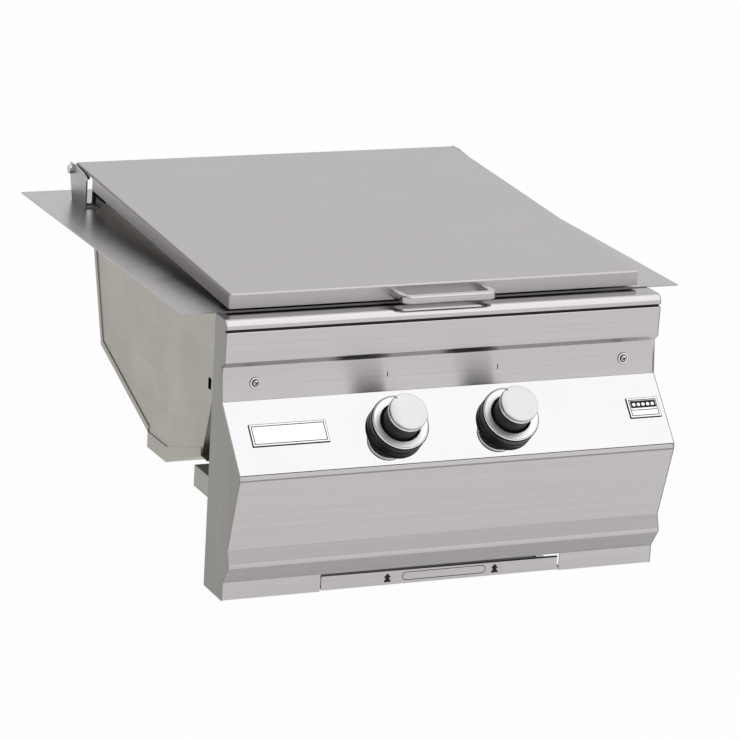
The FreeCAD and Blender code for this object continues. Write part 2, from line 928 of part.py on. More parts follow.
def manifold_centre():
    """Centre of the manifold pipe in Y and Z: each valve's inlet screws into it."""
    middle = control_length / 2.0
    along = middle + inlet_drop
    y = control_top[0] + along * control_down[0] - inlet_depth * control_out[0]
    z = control_top[1] + along * control_down[1] - inlet_depth * control_out[1]
    return y, z


def manifold_pipe():
    """Pipe across the housing, turned back by one square elbow and down to the gas inlet by another."""
    y, z = manifold_centre()
    side = pipe_elbow_width
    elbow = centred_block(side, side, -side / 2, side / 2)
    first = V(manifold_half, y, z)
    second = V(manifold_half, gas_inlet_y, z)
    down = V(0, 0, -1)
    drop = side / 2 + gas_inlet_length
    pipe = facet_rod(pipe_radius, V(-manifold_half, y, z), V(1, 0, 0), 2 * manifold_half)
    leg = facet_rod(pipe_radius, first, V(0, 1, 0), gas_inlet_y - y)
    inlet = rod(pipe_radius, second, down, drop)
    elbows = [on_axis(elbow, corner, V(0, 0, 1)) for corner in (first, second)]
    solid = pipe.fuse([leg, inlet] + elbows).removeSplitter()
    solid = solid.cut(rod(pipe_bore_radius, second, down, drop))
    for x in knob_places():
        socket = valve_inlet(inlet_drop - pipe_radius + inlet_engagement)
        solid = solid.cut(on_control_face(socket, x))
    return solid


def manifold_cap():
    """Hexagonal cap on the manifold pipe's left end."""
    y, z = manifold_centre()
    cap = hexagon(pipe_cap_radius, pipe_cap_length + pipe_cap_end)
    cap = cap.cut(facet_rod(pipe_radius, V(0, 0, pipe_cap_end), V(0, 0, 1), pipe_cap_length))
    return on_axis(cap, V(-manifold_half - pipe_cap_end, y, z), V(1, 0, 0))


def apron_inside(z):
    """Y of the apron's inner face at a height."""
    bottom = sheet_corner(control_bottom)
    line = beside([shifted(bottom, -nose_step, -nose_height), apron_bottom], sheet)
    share = (z - line[0][1]) / (line[1][1] - line[0][1])
    return line[0][0] + share * (line[1][0] - line[0][0])


def manifold_bracket():
    """Cradle on the apron's inner face that the manifold pipe lies in."""
    y, z = manifold_centre()
    top = z + manifold_bracket_rise
    low = z - manifold_bracket_fall
    far = y + manifold_bracket_reach
    x = -manifold_bracket_x
    on_apron = [(apron_inside(top), top), (apron_inside(low), low)]
    plate = side_plate(on_apron + [(far, low), (far, top)], x - plate_thickness, x)
    foot_back = [shifted(point, plate_thickness, 0) for point in reversed(on_apron)]
    foot = side_plate(on_apron + foot_back, x, x + manifold_bracket_foot)
    bracket = plate.fuse(foot).removeSplitter()
    return bracket.cut(facet_rod(pipe_radius, V(x - 5, y, z), V(1, 0, 0), manifold_bracket_foot + 10))


# Burners


def burner_body():
    """Casting of bowl and mixing tube, whose mouth has a web with three air windows."""
    along = V(0, 1, 0)
    mouth = V(-burner_x, mouth_y, mixer_z)
    foot = V(-burner_x, burner_y, bowl_foot)
    bowl = facet_rod(bowl_radius, foot, V(0, 0, 1), bowl_top - bowl_foot)
    tube = facet_rod(tube_radius, mouth, along, burner_y - mouth_y)
    cup = facet_rod(mouth_radius, mouth, along, mouth_length)
    body = bowl.fuse([tube, cup]).removeSplitter()
    hollow = mouth_length - web_thickness - tube_wall
    behind_web = mouth + V(0, web_thickness, 0)
    body = body.cut(facet_rod(mouth_radius - tube_wall, behind_web, along, hollow))
    body = body.cut(facet_rod(tube_radius - tube_wall, behind_web, along, burner_y - mouth_y))
    body = body.cut(facet_rod(orifice_nose_radius, mouth, along, web_thickness, tube_sides))
    for opening in air_windows():
        body = body.cut(on_axis(opening, mouth, along))
    inside = bowl_radius - bowl_wall
    floor = foot + V(0, 0, bowl_wall)
    return body.cut(facet_rod(inside, floor, V(0, 0, 1), bowl_top - bowl_foot - bowl_wall))


def air_windows():
    """Three straight-sided openings round the orifice nose, cut through the mouth's web."""
    across = air_window_width / 2.0
    windows = []
    for angle in window_turns:
        window = block(air_window_inner, air_window_outer, -across, across, 0, web_thickness)
        window.rotate(V(0, 0, 0), V(0, 0, 1), angle)
        windows.append(window)
    return windows


def orifice_elbow():
    """Elbow whose nose holds the gas orifice in the middle of the burner's web."""
    side = elbow_width / 2.0
    front = elbow_back - elbow_width
    body = block(-burner_x - side, -burner_x + side, front, elbow_back, mixer_z - side, mixer_z + side)
    nose_length = elbow_gap + web_thickness + nose_overrun
    start = V(-burner_x, elbow_back, mixer_z)
    nose = facet_rod(orifice_nose_radius, start, V(0, 1, 0), nose_length, tube_sides)
    nut = on_axis(hexagon(tube_nut_radius, elbow_nut_length), elbow_inlet(), V(0, 0, 1))
    return body.fuse([nose, nut])


def elbow_inlet():
    low = mixer_z - elbow_width / 2.0 - elbow_nut_length
    return V(-burner_x, elbow_back - elbow_width / 2.0, low)


def burner_cap():
    """Brass cap: a castellated ring of flame ports under a flat crown, located by three lugs."""
    ring_inner = port_ring_radius - port_ring_wall
    up = V(0, 0, port_ring_height)
    castle = prism(ring(port_ring_radius, bowl_top, casting_sides), up)
    castle = castle.cut(prism(ring(ring_inner, bowl_top, casting_sides), up))
    crown = ring(burner_cap_radius, bowl_top + port_ring_height, casting_sides)
    cap = castle.fuse(prism(crown, V(0, 0, burner_cap_thickness)))
    across = port_width / 2.0
    slot = block(ring_inner - 1, port_ring_radius + 1, -across, across, bowl_top, bowl_top + port_height)
    for i in range(port_count):
        port = slot.copy()
        port.rotate(V(0, 0, 0), V(0, 0, 1), 360.0 * (i + port_offset) / port_count)
        cap = cap.cut(port)
    lug_outer = bowl_radius - bowl_wall - side_clearance
    for angle in window_turns:
        lug = block(lug_outer - port_width, lug_outer, -across, across, bowl_top - cap_lug, bowl_top + 1)
        lug.rotate(V(0, 0, 0), V(0, 0, 1), angle)
        cap = cap.fuse(lug)
    cap = cap.removeSplitter()
    cap.translate(V(-burner_x, burner_y, 0))
    return cap


def burner_crossbar():
    """Channel across the firebox that carries both burner bowls."""
    y_low = burner_y - crossbar_width / 2.0
    y_high = burner_y + crossbar_width / 2.0
    low = bowl_foot - crossbar_height
    line = [(y_low, low), (y_low, bowl_foot), (y_high, bowl_foot), (y_high, low)]
    return bent_sheet(line, -plate_thickness, -half + sheet, half - sheet)


def burner_screws():
    under = bowl_foot - plate_thickness
    return pair(hex_head(V(-burner_x, burner_y, under), V(0, 0, -1)))


def igniter_electrode():
    """Ceramic electrode that stands on the crossbar, with its wire beside the flame ports."""
    foot = V(-burner_x + burner_cap_radius + electrode_gap, burner_y, bowl_foot)
    ceramic = on_axis(hexagon(electrode_radius, electrode_length), foot, V(0, 0, 1))
    wire_length = bowl_top + port_ring_height - bowl_foot - electrode_length
    wire = centred_block(electrode_wire, electrode_wire, 0, wire_length)
    wire.translate(foot + V(0, 0, electrode_length))
    return ceramic.fuse(wire)


def gas_tube():
    """Bent tube from the valve's outlet to the orifice elbow."""
    outlet_end = valve_depths()[-1]
    middle = control_length / 2.0
    y = control_top[0] + middle * control_down[0] + outlet_end * control_out[0]
    z = control_top[1] + middle * control_down[1] + outlet_end * control_out[1]
    start = V(-knob_spacing / 2.0, y, z)
    low = start - V(0, control_out[0], control_out[1]) * gas_tube_run
    end = elbow_inlet()
    corners = [start, low, end - V(0, 0, gas_tube_drop), end]
    route = bent_route(corners, gas_tube_bend)
    turn = FreeCAD.Rotation(V(0, 0, 1), route[1] - route[0])
    section = [route[0] + turn.multVec(point) for point in ring(gas_tube_radius, 0, tube_sides)]
    return mitred_bar(route, section)


def bent_route(points, bend_radius):
    """A polyline with each corner rounded in short straight lengths."""
    route = [points[0]]
    for before, corner, after in zip(points, points[1:], points[2:]):
        u = (corner - before).normalize()
        w = (after - corner).normalize()
        turn = u.getAngle(w)
        first = corner - u * (bend_radius * math.tan(turn / 2.0))
        inward = (w - u * u.dot(w)).normalize()
        steps = max(2, math.ceil(math.degrees(turn) / bend_step))
        for i in range(steps + 1):
            angle = turn * i / steps
            route.append(first + (inward * (1 - math.cos(angle)) + u * math.sin(angle)) * bend_radius)
    return route + [points[-1]]


def mitred_bar(route, section):
    """A bar whose section is carried along a polyline, with a mitre where two runs meet."""
    runs = [(b - a).normalize() for a, b in zip(route, route[1:])]
    mitres = [(u + w).normalize() for u, w in zip(runs, runs[1:])] + [runs[-1]]
    rings = [section]
    for run, mitre, corner in zip(runs, mitres, route[1:]):
        rings.append([point + run * ((corner - point).dot(mitre) / run.dot(mitre)) for point in rings[-1]])
    return stacked(rings)


# Grates and ledges


def grate():
    """Left cooking grate: flat bars along it, welded on three cross bars."""
    x_low = -half + sheet + grate_gap
    x_high = -grate_gap / 2.0
    y_low = firebox_front + sheet + grate_gap
    y_high = firebox_back - sheet - grate_gap
    pitch = (x_high - x_low - grate_bar) / (grate_bars - 1)
    middle = (y_low + y_high - grate_bar) / 2.0
    bars = []
    for i in range(grate_bars):
        left = x_low + i * pitch
        bars.append(block(left, left + grate_bar, y_low, y_high, grate_cross, grate_height))
    for y in (y_low, middle, y_high - grate_bar):
        bars.append(block(x_low, x_high, y, y + grate_bar, 0, grate_cross))
    return group(bars)


def grate_ledge(wall_top, wall_foot, inward):
    """Angle down a wall's inner face, whose level top carries the grates."""
    run = unit(wall_top, wall_foot)
    corner = meet(wall_top, run, (0, 0), (1, 0))
    foot = shifted(corner, run[0] * ledge_drop, run[1] * ledge_drop)
    line = [foot, corner, shifted(corner, inward * ledge_width, 0)]
    return bent_sheet(line, -inward * sheet, -half + sheet, half - sheet)


# Lower frame and instruction tray


def lower_frame():
    """A strap behind each cheek, joined by a rail across the back."""
    outer = frame_half_width
    low = frame_top - frame_height
    start = cheek_back
    strap = block(-outer, -outer + sheet, start, frame_back, low, frame_top)
    tab = block(-outer - frame_tab, -outer + sheet, start, start + sheet, low, frame_top)
    rear = block(-outer, outer, frame_back - sheet, frame_back, low, frame_top)
    return rear.fuse([strap, mirrored(strap), tab, mirrored(tab)]).removeSplitter()


def tray_floor_z():
    return lip_bottom + tray_floor_rise


def instruction_tray():
    """Flat slide-out tray with an upright face that fills the notch in the lip."""
    wide = tray_width / 2.0
    low = lip_bottom + sheet
    top = tray_floor_z() + tray_thickness
    back = tray_face_y + tray_thickness
    face = block(-wide, wide, tray_face_y, back, low, notch_top - tray_gap)
    floor_wide = wide - rail_width + rail_lap - side_clearance
    floor = block(-floor_wide, floor_wide, tray_face_y, tray_face_y + tray_depth, tray_floor_z(), top)
    return face.fuse(floor).removeSplitter()


def tray_rail():
    """Left guide rail: a channel that the tray's edge runs in, held by a tab behind the lip."""
    notch = tray_width / 2.0 + tray_notch_clearance
    outer = -tray_width / 2.0
    inner = outer + rail_width
    channel_low = tray_floor_z() - side_clearance
    channel_high = tray_floor_z() + tray_thickness + side_clearance
    low = channel_low - rail_thickness
    high = channel_high + rail_thickness
    lip_back = lip_top[0] + sheet
    front = tray_face_y + tray_thickness + sheet + side_clearance
    back = tray_face_y + tray_depth + rail_end_gap + rail_thickness
    rail = block(outer, inner, front, back, low, high)
    tab = block(-notch - rail_tab, -notch, lip_back, lip_back + rail_thickness, low, high)
    arm = block(-notch - rail_thickness, -notch, lip_back, front + rail_width, low, high)
    link = block(-notch - rail_thickness, outer, front, front + rail_width, low, high)
    solid = rail.fuse([tab, arm, link]).removeSplitter()
    channel_x = inner - rail_lap - 2 * side_clearance
    return solid.cut(block(channel_x, inner, front, back - rail_thickness, channel_low, channel_high))


# Putting the pieces together

nodes = {}
nodes["counter_flange"] = counter_flange()
nodes.update(both_sides("firebox_wall", firebox_side_wall()))
nodes["firebox_front_wall"] = firebox_front_wall()
nodes["firebox_back_panel"] = firebox_back_panel()
nodes["firebox_bottom_pan"] = firebox_bottom_pan()
nodes["front_grate_ledge"] = grate_ledge(*beside(front_wall_line(), sheet)[:2], 1)
nodes["rear_grate_ledge"] = grate_ledge(*beside(back_wall_line(), -sheet)[1:3], -1)
nodes.update(both_sides("grate", grate()))

nodes["lid"] = lid_shell()
nodes["lid_handle"] = lid_handle()
nodes["handle_screws"] = handle_screws()
nodes.update(both_sides("lid_ear", lid_ear()))
nodes["lid_bumpers"] = pair(lid_bumper())
nodes.update(both_sides("hinge_bracket", hinge_bracket()))
nodes["hinge_bolts"] = pair(hinge_bolt())
nodes["bracket_screws"] = bracket_screws()

nodes["front_panel"] = front_panel()
nodes["control_plate"] = control_plate()
nodes.update(both_sides("cheek", cheek()))
nodes["fascia_screws"] = fascia_screws()
nodes["nameplate"] = nameplate()
nodes["badge_plate"] = badge_plate()
nodes["lower_frame"] = lower_frame()
nodes["instruction_tray"] = instruction_tray()
nodes["tray_rails"] = pair(tray_rail())

nodes["bezels"] = group([on_control_face(bezel(), x) for x in knob_places()])
for side, x in zip(("left", "right"), knob_places()):
    nodes[side + "_knob"] = on_control_face(knob_body(), x)
    nodes[side + "_knob_cap"] = on_control_face(knob_cap(), x)
    nodes[side + "_valve_stem"] = on_control_face(valve_stem(), x)
    nodes[side + "_valve_plug"] = on_control_face(valve_plug(), x)
nodes["valve_bodies"] = group([on_control_face(valve_body(), x) for x in knob_places()])

nodes["manifold_pipe"] = manifold_pipe()
nodes["manifold_cap"] = manifold_cap()
nodes["manifold_brackets"] = pair(manifold_bracket())
nodes.update(both_sides("gas_tube", gas_tube()))
nodes["orifice_elbows"] = pair(orifice_elbow())
nodes.update(both_sides("burner_body", burner_body()))
nodes["burner_caps"] = pair(burner_cap())
nodes["burner_crossbar"] = burner_crossbar()
nodes["burner_screws"] = burner_screws()
nodes["igniters"] = pair(igniter_electrode())

os.makedirs("parts", exist_ok=True)
for name, shape in nodes.items():
    shape.exportStep("parts/" + name + ".step")
print(len(nodes), "pieces")
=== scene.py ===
import json
import math

import bmesh
import bpy
from mathutils import Matrix, Vector


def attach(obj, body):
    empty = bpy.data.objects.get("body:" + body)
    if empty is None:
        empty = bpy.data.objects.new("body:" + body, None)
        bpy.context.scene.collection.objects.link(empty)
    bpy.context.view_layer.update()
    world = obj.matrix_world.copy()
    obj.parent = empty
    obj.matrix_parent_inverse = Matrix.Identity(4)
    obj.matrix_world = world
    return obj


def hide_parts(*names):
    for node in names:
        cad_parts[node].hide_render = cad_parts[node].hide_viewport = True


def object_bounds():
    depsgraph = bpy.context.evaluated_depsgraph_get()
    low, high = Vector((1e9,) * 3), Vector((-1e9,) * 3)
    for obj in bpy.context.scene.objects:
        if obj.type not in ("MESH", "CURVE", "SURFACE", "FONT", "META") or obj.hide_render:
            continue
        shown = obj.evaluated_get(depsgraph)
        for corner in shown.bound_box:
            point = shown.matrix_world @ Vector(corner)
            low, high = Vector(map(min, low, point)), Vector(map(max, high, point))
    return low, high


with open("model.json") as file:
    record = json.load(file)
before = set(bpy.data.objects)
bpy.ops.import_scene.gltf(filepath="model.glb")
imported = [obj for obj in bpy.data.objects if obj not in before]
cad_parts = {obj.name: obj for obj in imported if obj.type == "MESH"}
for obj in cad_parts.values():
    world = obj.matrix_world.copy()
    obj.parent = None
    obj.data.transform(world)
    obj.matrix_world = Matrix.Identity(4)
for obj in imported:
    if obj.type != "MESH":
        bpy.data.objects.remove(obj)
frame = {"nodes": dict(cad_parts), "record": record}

# A built in double side burner in sheet steel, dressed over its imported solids.
# Lengths below are in millimetres, and MM turns them into the frame's metres.
# X runs to the right, Y to the back and Z up.

MM = 0.001
cad_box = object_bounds()
bpy.context.scene.view_settings.view_transform = "Standard"

# Sizes that the dressing shares with the solids

SHEET = 1.2
PANEL_HALF = 278.8
CONTROL_MIDDLE = (-65.359, -132.51)  # Y and Z of the knobs' centres on the control face
CONTROL_OUT = (-0.72537, 0.68835)  # Y and Z of the direction that the control face looks in
KNOB_X = 71.2
PLATE_Z = -131.2  # height of the two framed plates
TRAY_NOTCH = 156.0  # half the width of the notch in the panel's lip
NOTCH_TOP = -309.5
TRAY_FACE = -58.4  # Y of the tray's front


# Camera and light


CAMERA_TURN = (24.0263, 16.2184, 3.2657)  # yaw, pitch and roll in degrees
CAMERA_PLACE = (-1.8770, -4.0293, 1.2021)  # metres
FOCAL_LENGTH = 189.59


def place_camera():
    """The camera at the photograph's viewing angle."""
    yaw, pitch, roll = (math.radians(angle) for angle in CAMERA_TURN)
    ahead = Vector((math.sin(yaw) * math.cos(pitch), math.cos(yaw) * math.cos(pitch), -math.sin(pitch)))
    level = Vector((math.cos(yaw), -math.sin(yaw), 0))
    upright = level.cross(ahead)
    right = level * math.cos(roll) + upright * math.sin(roll)
    up = upright * math.cos(roll) - level * math.sin(roll)
    lens = bpy.data.cameras.new("camera")
    lens.sensor_width = 36
    lens.lens = FOCAL_LENGTH
    lens.clip_end = 60
    camera = bpy.data.objects.new("camera", lens)
    turn = Matrix((right, up, -ahead)).transposed().to_4x4()
    camera.matrix_world = Matrix.Translation(CAMERA_PLACE) @ turn
    bpy.context.scene.collection.objects.link(camera)
    bpy.context.scene.camera = camera


def softbox(name, place, target, width, height, power):
    """A flat rectangular lamp, turned towards a target; lengths in metres, power in watts."""
    light = bpy.data.lights.new(name, "AREA")
    light.shape = "RECTANGLE"
    light.size = width
    light.size_y = height
    light.energy = power
    lamp = bpy.data.objects.new(name, light)
    lamp.location = place
    lamp.rotation_euler = (Vector(target) - Vector(place)).to_track_quat("-Z", "Y").to_euler()
    bpy.context.scene.collection.objects.link(lamp)


# Node helpers


def put(tree, kind, inputs=None, **settings):
    """Adds a node, sets it up, and fills its sockets with values or with other sockets."""
    node = tree.nodes.new(kind)
    for name, value in settings.items():
        setattr(node, name, value)
    for key, value in (inputs or {}).items():
        if isinstance(value, bpy.types.NodeSocket):
            tree.links.new(value, node.inputs[key])
        else:
            node.inputs[key].default_value = value
    return node


def math_node(tree, operation, first, second=0.5):
    """The result of a sum on one or two values."""
    return put(tree, "ShaderNodeMath", {0: first, 1: second}, operation=operation).outputs[0]


def noise(tree, vector, scale, detail, roughness=0.5, distortion=0.0):
    """The value of a noise texture."""
    inputs = {
        "Vector": vector, "Scale": scale, "Detail": detail, "Roughness": roughness, "Distortion": distortion,
    }
    return put(tree, "ShaderNodeTexNoise", inputs).outputs["Fac"]


def spread(tree, value, low, high, start=0.3, stop=0.7):
    """A value mapped from one range onto another."""
    inputs = {"Value": value, "From Min": start, "From Max": stop, "To Min": low, "To Max": high}
    return put(tree, "ShaderNodeMapRange", inputs).outputs[0]


def object_place(tree):
    """The place on the object, in metres."""
    return put(tree, "ShaderNodeTexCoord").outputs["Object"]


# Effects that several materials share


def effect(name, inputs, outputs):
    """An empty shader node group with named sockets, and its input and output nodes."""
    tree = bpy.data.node_groups.new(name, "ShaderNodeTree")
    for label, kind, value in inputs:
        socket = tree.interface.new_socket(label, in_out="INPUT", socket_type=kind)
        socket.default_value = value
    for label in outputs:
        tree.interface.new_socket(label, in_out="OUTPUT", socket_type="NodeSocketFloat")
    return tree, tree.nodes.new("NodeGroupInput"), tree.nodes.new("NodeGroupOutput")


def grain_effect():
    """Fine parallel lines from a belt, with slow bands of tone and cloudy handling marks."""
    tree, given, result = effect(
        "belt_grain",
        [
            ("Stretch", "NodeSocketVector", (12, 2600, 2600)),
            ("Band Stretch", "NodeSocketVector", (3, 260, 260)),
            ("Cloud Scale", "NodeSocketFloat", 9.0),
        ],
        ["Lines", "Bands", "Clouds"],
    )
    place = object_place(tree)
    fine = put(tree, "ShaderNodeVectorMath", {0: place, 1: given.outputs["Stretch"]}, operation="MULTIPLY")
    wide = put(tree, "ShaderNodeVectorMath", {0: place, 1: given.outputs["Band Stretch"]}, operation="MULTIPLY")
    tree.links.new(noise(tree, fine.outputs[0], 1.0, 2.0, 0.6), result.inputs["Lines"])
    tree.links.new(noise(tree, wide.outputs[0], 1.0, 3.0, 0.65), result.inputs["Bands"])
    tree.links.new(noise(tree, place, given.outputs["Cloud Scale"], 4.0, 0.6, 0.6), result.inputs["Clouds"])
    return tree


def casting_effect():
    """The pitted skin of sand casting, with darker hollows."""
    tree, given, result = effect(
        "casting_skin",
        [("Grit Scale", "NodeSocketFloat", 900.0), ("Pit Scale", "NodeSocketFloat", 260.0)],
        ["Height", "Hollows"],
    )
    place = object_place(tree)
    grit = noise(tree, place, given.outputs["Grit Scale"], 4.0)
    pits = put(tree, "ShaderNodeTexVoronoi", {"Vector": place, "Scale": given.outputs["Pit Scale"]})
    low = spread(tree, pits.outputs["Distance"], 0.0, 1.0, 0.0, 0.6)
    tree.links.new(math_node(tree, "MULTIPLY", grit, low), result.inputs["Height"])
    tree.links.new(low, result.inputs["Hollows"])
    return tree


def wear_effect():
    """Speckle of dust and tiny scratches, used to break up a mirror or a painted face."""
    tree, given, result = effect(
        "fine_wear",
        [("Speck Scale", "NodeSocketFloat", 420.0), ("Haze Scale", "NodeSocketFloat", 14.0)],
        ["Specks", "Haze"],
    )
    place = object_place(tree)
    specks = noise(tree, place, given.outputs["Speck Scale"], 2.0)
    tree.links.new(spread(tree, specks, 0.0, 1.0, 0.62, 0.74), result.inputs["Specks"])
    tree.links.new(noise(tree, place, given.outputs["Haze Scale"], 5.0), result.inputs["Haze"])
    return tree


def away_effect():
    """Faces that turn away from a direction: sheet edges and the insides of folds."""
    tree, given, result = effect(
        "turned_away",
        [("Outward", "NodeSocketVector", (0, -1, 0)), ("Limit", "NodeSocketFloat", 0.5)],
        ["Mask"],
    )
    normal = put(tree, "ShaderNodeNewGeometry").outputs["Normal"]
    inputs = {0: normal, 1: given.outputs["Outward"]}
    facing = put(tree, "ShaderNodeVectorMath", inputs, operation="DOT_PRODUCT")
    below = math_node(tree, "LESS_THAN", facing.outputs["Value"], given.outputs["Limit"])
    tree.links.new(below, result.inputs["Mask"])
    return tree


GRAIN = grain_effect()
CASTING = casting_effect()
WEAR = wear_effect()
AWAY = away_effect()


# Materials


LINES = (14, 2600)  # scale of the belt's lines, along and across them
BANDS = (2.2, 240)  # scale of the slow bands of tone, along and across the lines
TONE_RANGE = (0.35, 0.65)  # part of the bands' range over which the tone changes
CLEANER, DULLER = 0.12, 0.15  # shares by which handling marks lower and raise the roughness
LINE_HEIGHT = 0.00006  # metres, as are the three below
SPECK_HEIGHT = 0.00002
COAT_HEIGHT = 0.0001
PIT_HEIGHT = 0.0004


def finish_tree(name):
    """A new material, its node tree and its shader."""
    material = bpy.data.materials.new(name)
    material.use_nodes = True
    tree = material.node_tree
    return material, tree, tree.nodes["Principled BSDF"]


def colour_out(node):
    """The colour output of a mix node, which has one for each kind of data."""
    return next(socket for socket in node.outputs if socket.type == "RGBA")


def mixed(tree, factor, first, second):
    """One of two colours, or a mix of them, by a factor."""
    node = put(tree, "ShaderNodeMix", {0: factor}, data_type="RGBA")
    node.inputs["A"].default_value = (*first, 1)
    node.inputs["B"].default_value = (*second, 1)
    return colour_out(node)


def add_relief(tree, shader, strength, distance, height):
    """Bumps on the shader's surface; distance is the height of a full bump in metres."""
    bump = put(tree, "ShaderNodeBump", {"Strength": strength, "Distance": distance, "Height": height})
    tree.links.new(bump.outputs[0], shader.inputs["Normal"])


def scales(axis, pair):
    """A scale for each axis: the first of the pair along the axis, the second across it."""
    return [pair[0] if letter == axis else pair[1] for letter in "xyz"]


def brushed(name, dark, light, roughness, along="x", depth=0.25, pull=0.0, haze=1.0):
    """Belt-brushed sheet: lines run along one axis of the frame, pull draws highlights out across them,
    and haze is how much handling marks change the gloss."""
    material, tree, shader = finish_tree(name)
    inputs = {"Stretch": scales(along, LINES), "Band Stretch": scales(along, BANDS)}
    grain = put(tree, "ShaderNodeGroup", inputs, node_tree=GRAIN)
    shader.inputs["Metallic"].default_value = 1.0
    tone = spread(tree, grain.outputs["Bands"], 0, 1, *TONE_RANGE)
    tree.links.new(mixed(tree, tone, dark, light), shader.inputs["Base Color"])
    low, high = roughness * (1 - CLEANER * haze), roughness * (1 + DULLER * haze)
    gloss = spread(tree, grain.outputs["Clouds"], low, high)
    tree.links.new(gloss, shader.inputs["Roughness"])
    add_relief(tree, shader, depth, LINE_HEIGHT, grain.outputs["Lines"])
    if pull > 0:
        shader.inputs["Anisotropic"].default_value = pull
        around = put(tree, "ShaderNodeTangent", direction_type="RADIAL", axis=along.upper())
        tree.links.new(around.outputs[0], shader.inputs["Tangent"])
    return material


def mirror_polished(name, dark, light, roughness):
    """Buffed metal: nearly a mirror, with a faint haze and a few specks."""
    material, tree, shader = finish_tree(name)
    wear = put(tree, "ShaderNodeGroup", node_tree=WEAR)
    shader.inputs["Metallic"].default_value = 1.0
    haze = spread(tree, wear.outputs["Haze"], 0, 1)
    tree.links.new(mixed(tree, haze, dark, light), shader.inputs["Base Color"])
    gloss = spread(tree, wear.outputs["Haze"], roughness, roughness * 1.8)
    tree.links.new(gloss, shader.inputs["Roughness"])
    add_relief(tree, shader, 0.04, SPECK_HEIGHT, wear.outputs["Specks"])
    return material


def cast(name, skin, hollow, roughness, metallic, depth, grit=900.0, pits=260.0):
    """Cast metal with a pitted skin."""
    material, tree, shader = finish_tree(name)
    grain = put(tree, "ShaderNodeGroup", {"Grit Scale": grit, "Pit Scale": pits}, node_tree=CASTING)
    shader.inputs["Metallic"].default_value = metallic
    tree.links.new(mixed(tree, grain.outputs["Hollows"], hollow, skin), shader.inputs["Base Color"])
    gloss = spread(tree, grain.outputs["Height"], roughness * 1.2, roughness * 0.85, 0.0, 0.8)
    tree.links.new(gloss, shader.inputs["Roughness"])
    add_relief(tree, shader, depth, PIT_HEIGHT, grain.outputs["Height"])
    return material


def coated(name, colour, worn, roughness, shine=0.5):
    """A matt or glossy coat, moulded or painted, with a little speckle."""
    material, tree, shader = finish_tree(name)
    shader.inputs["Specular IOR Level"].default_value = shine
    wear = put(tree, "ShaderNodeGroup", node_tree=WEAR)
    haze = spread(tree, wear.outputs["Haze"], 0, 1)
    tree.links.new(mixed(tree, haze, colour, worn), shader.inputs["Base Color"])
    gloss = spread(tree, wear.outputs["Haze"], roughness * 0.9, roughness * 1.1)
    tree.links.new(gloss, shader.inputs["Roughness"])
    add_relief(tree, shader, 0.08, COAT_HEIGHT, wear.outputs["Specks"])
    return material


def grey(level):
    """A neutral grey."""
    return (level, level, level)


def steel_grey(level):
    """The faintly rosy grey of belt-finished stainless steel."""
    return (level * 1.035, level * 0.985, level)


FIREBOX_TONES = ((0.412, 0.398, 0.352), (0.445, 0.43, 0.382))

steel = {
    "lid": brushed("lid_steel", steel_grey(0.46), steel_grey(0.475), 0.36, "x", 0.14, haze=0.25),
    "flange": brushed("flange_steel", steel_grey(0.43), steel_grey(0.46), 0.30, "x"),
    "panel": brushed("panel_steel", steel_grey(0.535), steel_grey(0.56), 0.2, "x", 0.1, pull=0.94),
    # The valley, fold and ledge steels are darker copies of the panel's steel: painted shade on bands of the
    # front panel.
    "valley": brushed("valley_shade_steel", steel_grey(0.39), steel_grey(0.41), 0.30, "x", 0.1, pull=0.8),
    "fold": brushed("fold_shade_steel", steel_grey(0.29), steel_grey(0.32), 0.26, "x", 0.2),
    "bullnose": brushed("bullnose_steel", steel_grey(0.53), steel_grey(0.56), 0.13, "x", 0.2),
    "ledge": brushed("ledge_shade_steel", steel_grey(0.36), steel_grey(0.39), 0.16, "x", 0.2),
    # The cheeks' steel is darker than the panel's: painted shade.
    "cheek": brushed("cheek_shaded_steel", (0.262, 0.255, 0.232), (0.285, 0.278, 0.255), 0.34, "z", 0.2),
    "firebox": brushed("firebox_steel", *FIREBOX_TONES, 0.38, "y", 0.2),
    "back": brushed("back_steel", *FIREBOX_TONES, 0.38, "x", 0.2),
    "inside": brushed("inside_steel", grey(0.40), grey(0.47), 0.40, "x"),
    "tray": brushed("tray_steel", steel_grey(0.53), steel_grey(0.57), 0.24, "x"),
    "handle": brushed("handle_steel", steel_grey(0.45), steel_grey(0.51), 0.12, "x", 0.18),
    "hinge": brushed("hinge_steel", grey(0.40), grey(0.48), 0.33, "y"),
    "frame": brushed("frame_steel", (0.36, 0.35, 0.31), (0.42, 0.41, 0.37), 0.38, "y"),
}
mirror_plate = mirror_polished("mirror_plate", grey(0.625), grey(0.64), 0.03)
knob_chrome = mirror_polished("knob_chrome", grey(0.52), grey(0.59), 0.09)
ring_chrome = mirror_polished("ring_chrome", grey(0.54), grey(0.60), 0.2)
# Near-white metal: a painted highlight on the crowns' ring, the bezels' face and the washers' top; also the
# colour of the badge's light studs.
white_and_painted_highlight = mirror_polished("white_and_painted_highlight", grey(0.90), grey(0.94), 0.36)
